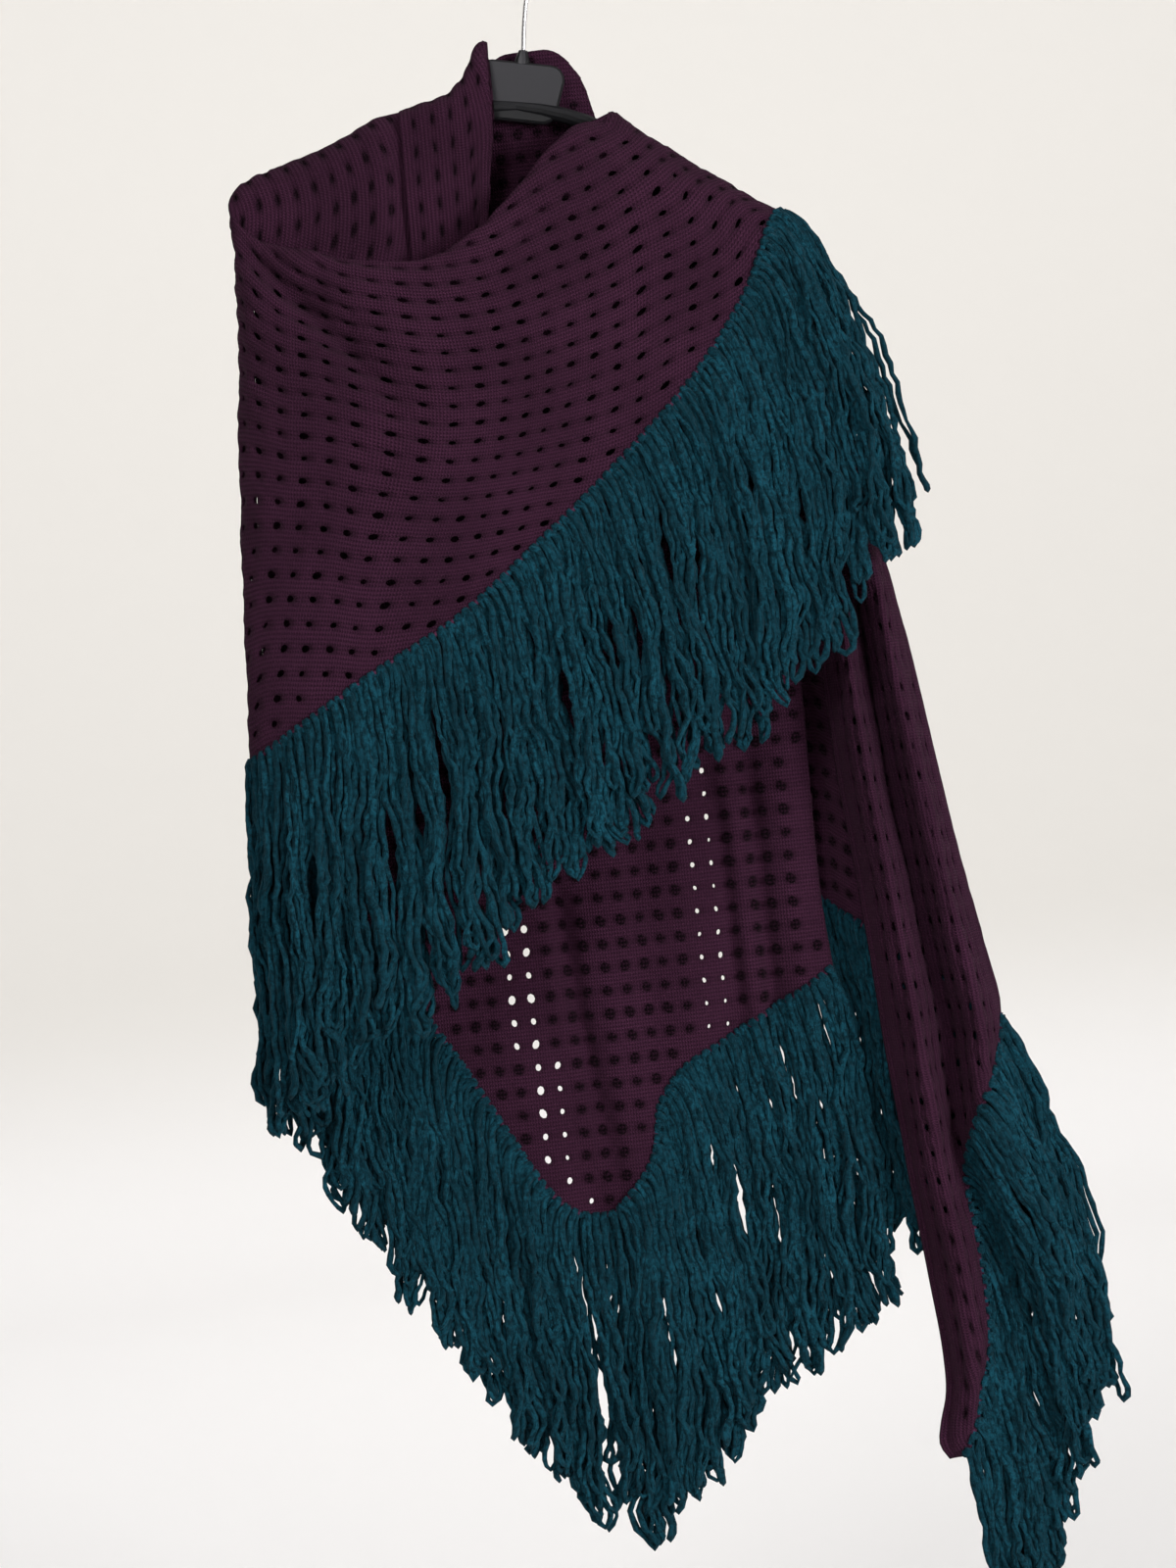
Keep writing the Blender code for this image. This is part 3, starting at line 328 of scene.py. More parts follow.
CAMERA_ROLL = 6.0
CAMERA_LENS = 74.1
SENSOR_WIDTH = 36.0
CLIP_END = 60.0


# -------- curves and surfaces

def spline(knots, values, at):
    """Smooth curve through values at knots, read at the places in at."""
    knots = np.asarray(knots, float)
    values = np.asarray(values, float)
    flat = values.reshape(len(knots), -1)
    steps = np.diff(knots)[:, None]
    slopes = np.diff(flat, axis=0) / steps
    tangents = np.empty_like(flat)
    tangents[0], tangents[-1] = slopes[0], slopes[-1]
    before, after = steps[:-1], steps[1:]
    tangents[1:-1] = (slopes[:-1] * after + slopes[1:] * before) / (before + after)
    at = np.clip(np.asarray(at, float), knots[0], knots[-1])
    cell = np.clip(np.searchsorted(knots, at, side="right") - 1, 0, len(knots) - 2)
    width = steps[cell]
    t = (at[:, None] - knots[cell][:, None]) / width
    curve = ((2 * t**3 - 3 * t**2 + 1) * flat[cell]
             + (t**3 - 2 * t**2 + t) * width * tangents[cell]
             + (3 * t**2 - 2 * t**3) * flat[cell + 1]
             + (t**3 - t**2) * width * tangents[cell + 1])
    return curve.reshape((len(at),) + values.shape[1:])


def lengths_along(points):
    """Running length along a row of points, or the mean one along a row of curves."""
    jumps = np.linalg.norm(np.diff(points, axis=0), axis=-1)
    if jumps.ndim > 1:
        jumps = jumps.mean(axis=1)
    return np.concatenate([[0.0], np.cumsum(np.maximum(jumps, 0.05))])


def stepped(knots, steps):
    """The knots with a number of even steps from each to the next."""
    places = [knots[0]]
    for start, end, count in zip(knots[:-1], knots[1:], steps):
        places += [start + (end - start) * (step + 1) / count for step in range(count)]
    return places


def resample(points, count):
    """A number of points evenly spaced on the smooth curve through the given ones."""
    points = np.asarray(points, float)
    knots = lengths_along(points)
    return spline(knots, points, np.linspace(0.0, knots[-1], count))


def subdivide(points, steps):
    """The rows of points with a number of even steps from each to the next."""
    knots = lengths_along(points)
    return spline(knots, points, stepped(knots, steps))


def unit(vectors, least=1e-9):
    """The vectors made 1 long, along their last axis."""
    return vectors / np.maximum(np.linalg.norm(vectors, axis=-1, keepdims=True), least)


def square_to(heading, vectors, least=1e-9):
    """Unit vectors along what the given ones have square to a unit heading."""
    return unit(vectors - heading * (vectors * heading).sum(axis=-1, keepdims=True), least)


def grid_normals(grid):
    return unit(np.cross(np.gradient(grid, axis=0), np.gradient(grid, axis=1)))


def between(start, end, share):
    """The place at a share of the way from one place to another."""
    return tuple(first + (last - first) * share for first, last in zip(start, end))


# -------- cloth

def ridge(x):
    """Mid-surface of the outer layer over the right arm."""
    return float(np.interp(x, *zip(*RIGHT_RIDGE))) - CLOTH_THICKNESS / 2


def back_top(x):
    """Upper edge of the back panel at x: its depth, and its height with the seam's gap."""
    corner_x, corner_z = WRAP_FOLD[0][0] + WRAP_FOLD_BACK_INSET + BACK_MARGIN, WRAP_FOLD[0][1]
    rows = [(corner_x, WRAP_FOLD_DEPTH, corner_z)] + [row[:3] for row in BACK_PANEL]
    places, depths, heights = zip(*rows)
    before, height, after = np.interp([x - 1, x, x + 1], places, heights)
    gap = FOOT_GAP * math.hypot(1, (after - before) / 2)
    return float(np.interp(x, places, depths)), float(height + gap)


def left_shoulder_grid():
    """From the foot behind the left arm, over it and down in front."""
    sections = []
    for top_x, top_z, depth, height, *low in LEFT_SHOULDER:
        foot_y, foot_z = back_top(top_x)
        foot_y = min(foot_y, depth + 0.5)
        hang = top_z - height
        section = [(top_x, foot_y, foot_z), (top_x, foot_y, (foot_z + max(hang, foot_z) + 2) / 2)]
        for turn in map(math.radians, ARCH_DEGREES):
            section.append((top_x, -depth * math.sin(turn), top_z - height * (1 - math.cos(turn))))
        sections.append(section + [between((top_x, -depth, hang), low, share) for share in SHOULDER_SHARES])
    return np.array(sections)


def neck_fall_grid():
    """From the foot behind the plate, up beside the hook and down in front."""
    sections = []
    for top_x, top_z, crown, *low in NECK_FALL:
        foot_y, foot_z = back_top(top_x)
        front_z = min(top_z - 22, -135)
        places = ((foot_y, foot_z), ((foot_y + crown) / 2 + 0.8, (foot_z + top_z - 8) / 2),
                  (crown * 0.72, top_z - 5), (0, top_z), (-crown * 0.72, top_z - 5),
                  (-crown - 2.5, (top_z + front_z) / 2 - 2), (NECK_FRONT_Y, front_z))
        section = [(top_x, y, z) for y, z in places]
        sections.append(section + [between(section[-1], low, share) for share in NECK_SHARES])
    return np.array(sections)


def crease(grid):
    """Press the grid's front back along the line that runs down from the left corner."""
    start = np.array(CREASE_START, float)
    line = np.array(CREASE_END, float) - start
    reach = np.linalg.norm(line)
    flat = grid[..., (0, 2)] - start
    share = flat @ line / reach / reach
    aside = (flat[..., 0] * line[1] - flat[..., 1] * line[0]) / reach
    fade = np.clip(np.minimum((share + 0.1) / 0.3, (1.25 - share) / 0.6), 0, 1)
    front = np.clip((-grid[..., 1] - 12) / 16, 0, 1)
    grid[..., 1] += CREASE_DEPTH * fade * front * np.exp(-(aside / CREASE_WIDTH) ** 2)
    return grid


def lip(start, inside, up, turn):
    """Points of the rim's lip, from its edge back to the place where it leaves the wrap."""
    points = []
    for step in range(LIP_STEPS, 0, -1):
        run = LIP_LENGTH * step / LIP_STEPS
        bend = max(turn, STRAIGHT) * run / LIP_LENGTH
        points.append(start + (up * math.sin(bend) + inside * (1 - math.cos(bend))) * run / bend)
    return points


def front_wrap_grid():
    """The wrap from the edge of its lip to the hem, with the turn of the lip at each section."""
    sections = [[(x + inset, y, z) for x, z in WRAP_FOLD] for inset, y in WRAP_FOLD_SECTIONS]
    turns = [0.0] * len(sections)
    for rim_x, rim_y, rim_z, degrees, *hem, belly, lean in FRONT_WRAP:
        turn = math.radians(degrees)
        set_back = LIP_LENGTH / max(turn, STRAIGHT) * (1 - math.cos(min(turn, math.pi / 2)))
        section = []
        for share in WRAP_SHARES:
            x, y, z = between((rim_x, rim_y - set_back, rim_z), hem, share)
            arch = math.sin(math.pi * share)
            section.append((x + lean * arch, y - belly * arch, z))
        sections.append(section)
        turns.append(turn)
    for share, y, drop in WRAP_OVER_SHOULDER:
        rim_x, hem_x = between(*zip(WRAP_SHOULDER_RIM_X, WRAP_SHOULDER_HEM_X), share)
        sections.append([(x, y, ridge(x) - drop) for x in np.linspace(rim_x, hem_x, 9)])
        turns.append(0.0)

    bodies = []
    for section, turn in zip(sections, turns):
        knots = lengths_along(np.array(section, float))
        rise = math.sin(min(turn, math.pi / 2)) * LIP_LENGTH / turn if turn else LIP_LENGTH
        bodies.append(spline(knots, section, np.linspace(rise, knots[-1], WRAP_POINTS)))
    steps = [1] * len(WRAP_FOLD_SECTIONS) + [2] * (len(FRONT_WRAP) - 1) + [1] * len(WRAP_OVER_SHOULDER)
    grid = crease(subdivide(np.array(bodies), steps))
    knots = np.concatenate([[0], np.cumsum(steps[:len(turns) - 1])])
    turns = np.interp(range(len(grid)), knots, turns)
    lips = [lip(section[0], normal, unit(section[0] - section[1]), turn)
            for section, normal, turn in zip(grid, grid_normals(grid)[:, 0], turns)]
    return np.concatenate([np.array(lips), grid], axis=1), turns


def thrown_end_grid():
    """From the top of the right shoulder down the back to the tip."""
    sections = []
    for y, drop in THROWN_OVER_SHOULDER:
        rim_x, hem_x = WRAP_SHOULDER_RIM_X[1] + y * 0.3, WRAP_SHOULDER_HEM_X[1]
        sections.append([(x, y, ridge(x) - drop) for x in np.linspace(rim_x, hem_x, THROWN_POINTS)])
    for row in THROWN_END:
        rim, hem = row[:3], row[3:]
        x, y, z = between(rim, hem, 0.5)
        sections.append(resample([rim, (x, y + 1, z), hem], THROWN_POINTS))
    return subdivide(np.array(sections), [1, 1, 1, 1, 2, 2, 2, 1])


def fold_profile(share, back_y, depth):
    """Depth of the tail's two folds at a share of its width."""
    return back_y - depth * (0.5 - 0.5 * math.cos(4 * math.pi * share))


def tail_foot(x):
    """Height of the seam behind the right arm."""
    return ridge(x) - LAYER_STEP - TAIL_FOOT[1] - FOOT_GAP


def right_tail_grid():
    """From the foot behind the right arm, over it and down in front to the tail's tip."""
    sections = [[(x, y, ridge(x) - LAYER_STEP - drop) for x in np.linspace(*TAIL_TOP_X, TAIL_POINTS)]
                for y, drop in (TAIL_FOOT,) + TAIL_ARCH]
    for *left, end_x, end_z, end_share, back_y, depth in RIGHT_TAIL:
        section = []
        for share in np.linspace(0, 1, TAIL_POINTS):
            x, z = between(left, (end_x, end_z), share)
            section.append((x, fold_profile(share * end_share, back_y, depth), z))
        sections.append(section)
    steps = [1] * (len(TAIL_ARCH) + 1) + list(TAIL_STEPS)
    return subdivide(np.array(sections), steps + [1] * (len(sections) - 1 - len(steps)))


def back_side_grid():
    """From the seam behind the right arm down to the hem, from the deep fold to the outer one."""
    sections = []
    for fold_x, fold_y, left_z, edge_x, right_x, right_y, right_z in BACK_SIDE:
        shallow = min(1.0, max(0.0, (fold_y - FLAT_Y) / SIDE_FOLD))
        bend_y = fold_y - SIDE_FOLD * shallow
        places = ((fold_x, fold_y - 2 * shallow), (fold_x + 9, fold_y), (edge_x - 3, fold_y - 3 * shallow),
                  (edge_x, (fold_y + bend_y) / 2), (edge_x + 6, bend_y),
                  (edge_x + 16, (bend_y + right_y) / 2),
                  ((edge_x + right_x) / 2 + 8, right_y + 0.5), (right_x, right_y))
        levels = [left_z + (right_z - left_z) * (x - fold_x) / (right_x - fold_x) for x, _ in places]
        sections.append([(x, y, level or tail_foot(x)) for (x, y), level in zip(places, levels)])
    grid = subdivide(np.array(sections), [1, 1, 1, 2, 2, 2])
    return subdivide(grid.transpose(1, 0, 2), [1, 1, 1, 1, 1, 2, 2]).transpose(1, 0, 2)


def back_panel_grid():
    """From the left fold to the right wing, each section from the top down to the hem."""
    top_z, foot_z = WRAP_FOLD[0][1], WRAP_FOLD[-1][1]
    slope = BACK_MARGIN * BACK_HEM_SLOPE / (top_z - foot_z)
    edge = [(x + WRAP_FOLD_BACK_INSET + SEAM_GAP, WRAP_FOLD_DEPTH, z) for x, z in WRAP_FOLD]
    beside = [(x + WRAP_FOLD_BACK_INSET + BACK_MARGIN, WRAP_FOLD_DEPTH, z - slope * (top_z - z))
              for x, z in WRAP_FOLD]
    sections = [resample(edge, BACK_POINTS), resample(beside, BACK_POINTS)]
    for top_x, top_y, top_z, *hem, bow in BACK_PANEL:
        section = []
        for share in np.linspace(0, 1, BACK_POINTS):
            x, y, z = between((top_x, top_y, top_z or tail_foot(top_x)), hem, share)
            section.append((x + bow * math.sin(math.pi * share) ** 2, y, z))
        sections.append(section)
    return np.array(sections)


# -------- the knit on each surface

def wrap_knit(grid, turns):
    """Column and row of the knit at each point of the wrap's grid."""
    rows = np.array(WRAP_KNIT, float)
    table = spline(rows[:, 0], rows[:, 1:], range(len(grid)))
    knit = np.empty(grid.shape[:2] + (2,))
    for place, (section, turn, row) in enumerate(zip(grid, turns, table)):
        run = lengths_along(section)
        fold = math.sin(min(turn, math.pi / 2)) / turn if turn else 1.0
        run = run - LIP_LENGTH * (1 - fold)
        share = run / run[-1]
        knit[place, :, 1] = extended((0, 1 / 3, 2 / 3, 1), row[:4], share)
        knit[place, :, 0] = extended((0, 0.5, 1), row[4:], share)
    folded = len(WRAP_FOLD_SECTIONS)
    back = lengths_along(grid[:folded + 1][::-1])[::-1]
    knit[:folded, :, 0] -= back[:-1, None] / WRAP_COLUMN_PITCH
    return knit


def extended(knots, values, at):
    """Smooth curve through values at knots, with straight ends beyond them."""
    inside = spline(knots, values, at)
    first = (values[1] - values[0]) / (knots[1] - knots[0])
    last = (values[-1] - values[-2]) / (knots[-1] - knots[-2])
    return inside + np.minimum(at - knots[0], 0) * first + np.maximum(at - knots[-1], 0) * last


def level_knit(grid, pitches, start):
    """Column and row at each point of cloth whose rows hang level."""
    return np.stack([grid[..., 0] / pitches[0] + start[0], -grid[..., 2] / pitches[1] + start[1]], axis=2)


def measured_knit(grid, pitches, start, rows_run_down):
    """Column and row at each point, counted off by length from the grid's first corner.

    Columns that run across stay in line with the grid's sections.
    """
    over = np.cumsum(np.linalg.norm(np.diff(grid, axis=0, prepend=grid[:1]), axis=2), axis=0)
    down = np.cumsum(np.linalg.norm(np.diff(grid, axis=1, prepend=grid[:, :1]), axis=2), axis=1)
    if not rows_run_down:
        over = over.mean(axis=1, keepdims=True) + np.zeros(over.shape)
    along_rows, across_rows = (down, over) if rows_run_down else (over, down)
    return np.stack([along_rows / pitches[0] + start[0], across_rows / pitches[1] + start[1]], axis=2)


def refined(field, knots_from):
    """The field of a grid with extra points between, evenly spaced on the surface."""
    for axis in (0, 1):
        knots = lengths_along(np.moveaxis(knots_from, axis, 0))
        at = stepped(knots, [REFINE] * (len(knots) - 1))
        field = np.moveaxis(spline(knots, np.moveaxis(field, axis, 0), at), 0, axis)
        knots_from = np.moveaxis(spline(knots, np.moveaxis(knots_from, axis, 0), at), 0, axis)
    return field


def cell_at(field, spots):
    """A grid's values at the corners of the cell that holds each spot, and its shares across the cell."""
    cell = np.clip(np.floor(spots).astype(int), 0, np.array(field.shape[:2]) - 2)
    i, j = cell[:, 0], cell[:, 1]
    share = spots - cell
    return field[i, j], field[i + 1, j], field[i, j + 1], field[i + 1, j + 1], share[:, :1], share[:, 1:]


def sample(field, spots):
    """Value of a grid's field at fractional places, carried straight on past its borders."""
    p, q, r, s, a, b = cell_at(field, spots)
    return (p * (1 - a) + q * a) * (1 - b) + (r * (1 - a) + s * a) * b


def nearest_places(knit, places, wanted):
    """Those of the grid's whole places whose column and row come nearest to the wanted ones."""
    known = knit[places[:, 0], places[:, 1]]
    return places[np.argmin(((wanted[:, None] - known[None]) ** 2).sum(axis=2), axis=1)]


def places_of(knit, wanted):
    """Fractional places on the grid where the knit has the wanted columns and rows."""
    size = np.array(knit.shape[:2])
    coarse = [np.unique(np.linspace(0, count - 1, FIRST_GUESSES).astype(int)) for count in size]
    coarse = np.array([(i, j) for i in coarse[0] for j in coarse[1]])
    spots = np.concatenate([nearest_places(knit, coarse, wanted[start:start + BATCH])
                            for start in range(0, len(wanted), BATCH)]).astype(float)
    for _ in range(SEARCH_STEPS):
        p, q, r, s, a, b = cell_at(knit, spots)
        miss = wanted - (p * (1 - a) + q * a) * (1 - b) - (r * (1 - a) + s * a) * b
        by_i = (q - p) * (1 - b) + (s - r) * b
        by_j = (r - p) * (1 - a) + (s - q) * a
        area = by_i[:, 0] * by_j[:, 1] - by_i[:, 1] * by_j[:, 0]
        area = np.where(np.abs(area) < 1e-7, 1e-7, area)
        step = np.stack([(miss[:, 0] * by_j[:, 1] - miss[:, 1] * by_j[:, 0]) / area,
                         (by_i[:, 0] * miss[:, 1] - by_i[:, 1] * miss[:, 0]) / area], axis=1)
        spots = np.clip(spots + np.clip(step, -LONGEST_STEP, LONGEST_STEP),
                        -SEARCH_MARGIN, size + SEARCH_MARGIN - 1)
    last = size - 1
    on_cloth = ((spots > 0) & (spots < last)).all(axis=1)
    lost = on_cloth & (np.abs(sample(knit, spots) - wanted).max(axis=1) > LOST_PLACE)
    if lost.any():
        border = np.array([(i, j) for i in range(size[0]) for j in range(size[1])
                           if i in (0, last[0]) or j in (0, last[1])])
        spots[lost] = nearest_places(knit, border, wanted[lost])
    return spots


def hashed(a, b, seed):
    """Even scatter from 0 to 1 for each pair of numbers."""
    mixed = np.sin(np.asarray(a) * 127.1 + np.asarray(b) * 311.7 + seed * 74.7) * 43758.5453
    return mixed - np.floor(mixed)


def ripple(points, wavelength, seed):
    """Smooth irregular wave, about -1 to 1, over points in space."""
    total = np.zeros(len(points))
    for wave in range(6):
        turn, rise = hashed(wave, 1, seed) * math.tau, hashed(wave, 2, seed) * 2 - 1
        level = math.sqrt(1 - rise * rise)
        direction = np.array([math.cos(turn) * level, math.sin(turn) * level, rise])
        pace = math.tau / (wavelength * (0.7 + 0.8 * hashed(wave, 3, seed)))
        total += np.sin(points @ direction * pace + wave * 2.1 + seed)
    return total / 3.2


def gaping(name, places):
    """Share of its full size that each eyelet gapes; one that stays closed is only a dent, its middle
    painted near black as painted shade.
    """
    bands = GAPING.get(name)
    if bands is None:
        on_arm = (np.abs(places[:, 1]) < ARM_REST[0]) & (places[:, 2] > ARM_REST[1])
        return np.where(on_arm | (places[:, 2] < TAIL_TIP_SHUT), 0.0, 1.0)
    gape = np.zeros(len(places))
    for x_low, x_high, z_low, z_high, lean, share in bands:
        x = places[:, 0] - (z_high - places[:, 2]) * lean
        found = (x > x_low) & (x < x_high) & (places[:, 2] > z_low) & (places[:, 2] < z_high)
        gape = np.where(found, share, gape)
    return gape


def furrow_depth(places, start_x, start_z, end_x, end_z, depth, width):
    """How far a crease along a line presses each place back."""
    line = np.array([end_x - start_x, end_z - start_z], float)
    reach = np.linalg.norm(line)
    flat = places[:, (0, 2)] - (start_x, start_z)
    share = flat @ line / reach ** 2
    aside = (flat[:, 0] * line[1] - flat[:, 1] * line[0]) / reach
    fade = np.clip(np.minimum((share + 0.1) / 0.25, (1.1 - share) / 0.25), 0, 1)
    return depth * fade * (np.exp(-(aside / width) ** 2) - 0.5 * np.exp(-((aside - 2 * width) / width) ** 2))


def surface_piece(name, places, faces, layer_name, layout):
    """Piece with a smooth mesh of the faces and a layer that says where each place lies in its layout."""
    mesh = bpy.data.meshes.new(name)
    mesh.from_pydata(places * MM, [], faces)
    layer = mesh.uv_layers.new(name=layer_name)
    loops = np.empty(len(mesh.loops), np.int32)
    mesh.loops.foreach_get("vertex_index", loops)
    layer.data.foreach_set("uv", layout[loops].astype(np.float32).ravel())
    mesh.shade_smooth()
    made = bpy.data.objects.new(name, mesh)
    bpy.context.collection.objects.link(made)
    return made


def knit_mesh(name, grid, knit, pitches, hole, relief, outward, seed):
    """Sheet laid out on the knit's columns and rows, with its eyelets open and its rows in relief."""
    sizes = bpy.context.scene.shawl_sizes
    surface = refined(np.concatenate([grid, knit], axis=2), grid)
    points, knit = surface[..., :3], surface[..., 3:5]
    normals = grid_normals(points)
    if float(normals.mean(axis=(0, 1)) @ np.array(outward)) < 0:
        normals = -normals
    low = np.floor(knit.min(axis=(0, 1))).astype(int) - 1
    high = np.ceil(knit.max(axis=(0, 1))).astype(int) + 1
    shape = (high - low) * np.array(SUB_STEPS) + 1
    index = np.stack(np.meshgrid(range(shape[0]), range(shape[1]), indexing="ij"), axis=2)
    wanted = low + index / np.array(SUB_STEPS)
    flat = wanted.reshape(-1, 2)
    centre = np.round(flat)
    offset = (flat - centre) * np.array(SUB_STEPS)
    ring = (np.abs(offset).max(axis=1) < 1.5) & (np.abs(offset).max(axis=1) > 0.5)

    def inside(places):
        spots = places_of(knit, places)
        limit = np.array(knit.shape[:2]) - 1
        return ((spots >= 0) & (spots <= limit)).all(axis=1)

    holes = np.array([(c, r) for c in range(low[0], high[0] + 1) for r in range(low[1], high[1] + 1)], float)
    border = sizes.plain_border / np.array(pitches)
    open_here = np.ones(len(holes), bool)
    for side in ROUND_ABOUT:
        open_here &= inside(holes + np.array(side) * border)
    is_open = {(int(c), int(r)) for (c, r), free in zip(holes, open_here) if free}

    opened = np.array([(int(c), int(r)) in is_open for c, r in centre])
    limit = np.array(knit.shape[:2]) - 1
    gape = gaping(name, sample(points, np.clip(places_of(knit, centre), 0, limit)))
    through = opened & (gape > 0)
    size = EYELET_SIZE[0] + EYELET_SIZE[1] * hashed(centre[:, 0], centre[:, 1], seed)
    lean = (hashed(centre[:, 1], centre[:, 0], seed + 1) - 0.5) * EYELET_LEAN
    turn = np.arctan2(offset[:, 1], offset[:, 0])
    reach = np.stack([np.cos(turn + lean * 0.3) * hole[0], np.sin(turn + lean) * hole[1]], axis=1)
    size = np.where(gape > 0, size * gape, size)
    reach *= (size * sizes.hole_scale / 2)[:, None] / np.array(pitches)
    flat = np.where((ring & opened)[:, None], centre + reach, flat)

    spots = places_of(knit, flat)
    clear = ((spots > 0) & (spots < limit)).all(axis=1)
    spots = np.clip(spots, 0, limit)
    position = sample(points, spots)
    normal = unit(sample(normals, spots))
    column, row = flat[:, 0], flat[:, 1]
    groove = np.exp(-((row - np.round(row)) / GROOVE_WIDTH) ** 2)
    depth = relief
    if not np.isscalar(relief):
        depth = np.interp(spots[:, 0] / REFINE, *relief[0]) * np.interp(row, *relief[1])
    away = (flat - centre) * np.array(pitches)
    dimple = np.exp(-(away ** 2).sum(axis=1) / DIMPLE_WIDTH ** 2) * opened
    edge = np.clip(np.minimum(spots, limit - spots).min(axis=1) / (1.5 * REFINE), 0, 1)
    lift = depth * sizes.relief * (0.45 - groove * (0.75 + 0.25 * np.cos(math.tau * column)))
    lift -= DIMPLE_DEPTH * dimple
    for height, wavelength, step in RIPPLES:
        lift += height * ripple(position, wavelength, seed + step)
    middle = (np.abs(offset).max(axis=1) < 0.5) & opened
    lift = lift * (0.3 + 0.7 * edge) - PIT_DEPTH * (middle & ~through)
    for furrow in FURROWS.get(name[5:], ()):
        position[:, 1] += furrow_depth(position, *furrow)
    position = position + normal * lift[:, None]

    number = np.arange(len(flat)).reshape(shape)
    quads = np.stack([number[:-1, :-1], number[1:, :-1], number[1:, 1:], number[:-1, 1:]], axis=2)
    quads = quads.reshape(-1, 4)
    keep = clear[quads].any(axis=1) & ~(middle & through)[quads].any(axis=1)
    quads = quads[keep]
    used, quads = np.unique(quads, return_inverse=True)
    quads = quads.reshape(-1, 4)
    made = surface_piece(name, position[used], quads.tolist(), "Knit", flat[used] * np.array(pitches) * MM)
    # Painted shade layer: near black in the middles of closed eyelets, darker round eyelet rims and along
    # the rows' grooves
    painted_shade_layer = made.data.attributes.new("PaintedShade", 'FLOAT', 'POINT')
    painted_shade = np.maximum(middle * 1.0, np.where(through, RIM_SHADE, SHUT_RIM_SHADE) * (ring & opened))
    painted_shade = np.maximum(painted_shade, GROOVE_SHADE * groove * np.clip(depth, 0.4, 1))
    painted_shade_layer.data.foreach_set("value", painted_shade[used].astype(np.float32))
    made.data.validate()
    return made


# -------- fringe strands

def hem_line(hem, inner, shares):
    """Points of a hem at shares of its length, with its direction, the way out and the face's way."""
    run = lengths_along(hem)
    at = np.asarray(shares) * run[-1]
    edge, inside = spline(run, hem, at), spline(run, inner, at)
    ahead = unit(spline(run, hem, np.minimum(at + 4, run[-1])) - spline(run, hem, np.maximum(at - 4, 0)))
    out = square_to(ahead, edge - inside)
    return edge, ahead, out, np.cross(ahead, out)


def tube_mesh(name, paths, sideways, radii, sides):
    """Tubes along many paths of equal count, as one mesh."""
    strands, steps = paths.shape[:2]
    heading = unit(np.gradient(paths, axis=1))
    first = square_to(heading, sideways)
    second = np.cross(heading, first)
    turn = (np.arange(sides) * math.tau / sides)[:, None]
    rings = paths[:, :, None] + radii[:, :, None, None] * (first[:, :, None] * np.cos(turn)
                                                           + second[:, :, None] * np.sin(turn))
    base = ((np.arange(strands)[:, None] * steps + np.arange(steps - 1)[None]) * sides)[..., None]
    side = np.arange(sides)
    after = (side + 1) % sides
    quads = np.stack([base + side, base + after, base + sides + after, base + sides + side], axis=3)
    faces = quads.reshape(-1, 4).tolist()
    for strand in range(strands):
        start = strand * steps * sides
        end = start + (steps - 1) * sides
        faces += [list(range(start + sides - 1, start - 1, -1)), list(range(end, end + sides))]
    along = np.repeat(lengths_of(paths).reshape(-1), sides)
    around = np.tile(np.arange(sides) / sides, strands * steps)
    own = np.repeat(np.arange(strands), steps * sides)
    layout = np.stack([along * MM, around + own], axis=1)
    return surface_piece(name, rings.reshape(-1, 3), faces, "Yarn", layout)


def lengths_of(paths):
    steps = np.linalg.norm(np.diff(paths, axis=1, prepend=paths[:, :1]), axis=2)
    return np.cumsum(steps, axis=1)


def wave(along, wavelength, random, parts=((1.0, 1.0), (0.55, 0.45))):
    """Irregular sideways wave along many strands."""
    total = np.zeros(along.shape)
    for part, size in parts:
        start = random.uniform(0, math.tau, (len(along), 1))
        pace = math.tau / (wavelength * part * random.uniform(0.75, 1.35, (len(along), 1)))
        total += size * np.sin(along * pace + start)
    return total


def shared_wave(clump, along, wavelength, seed):
    """Wave that all strands of a clump have in common."""
    start = hashed(clump, 7, seed)[:, None] * math.tau
    pace = math.tau / (wavelength * (0.75 + 0.6 * hashed(clump, 8, seed)[:, None]))
    return np.sin(along * pace + start)


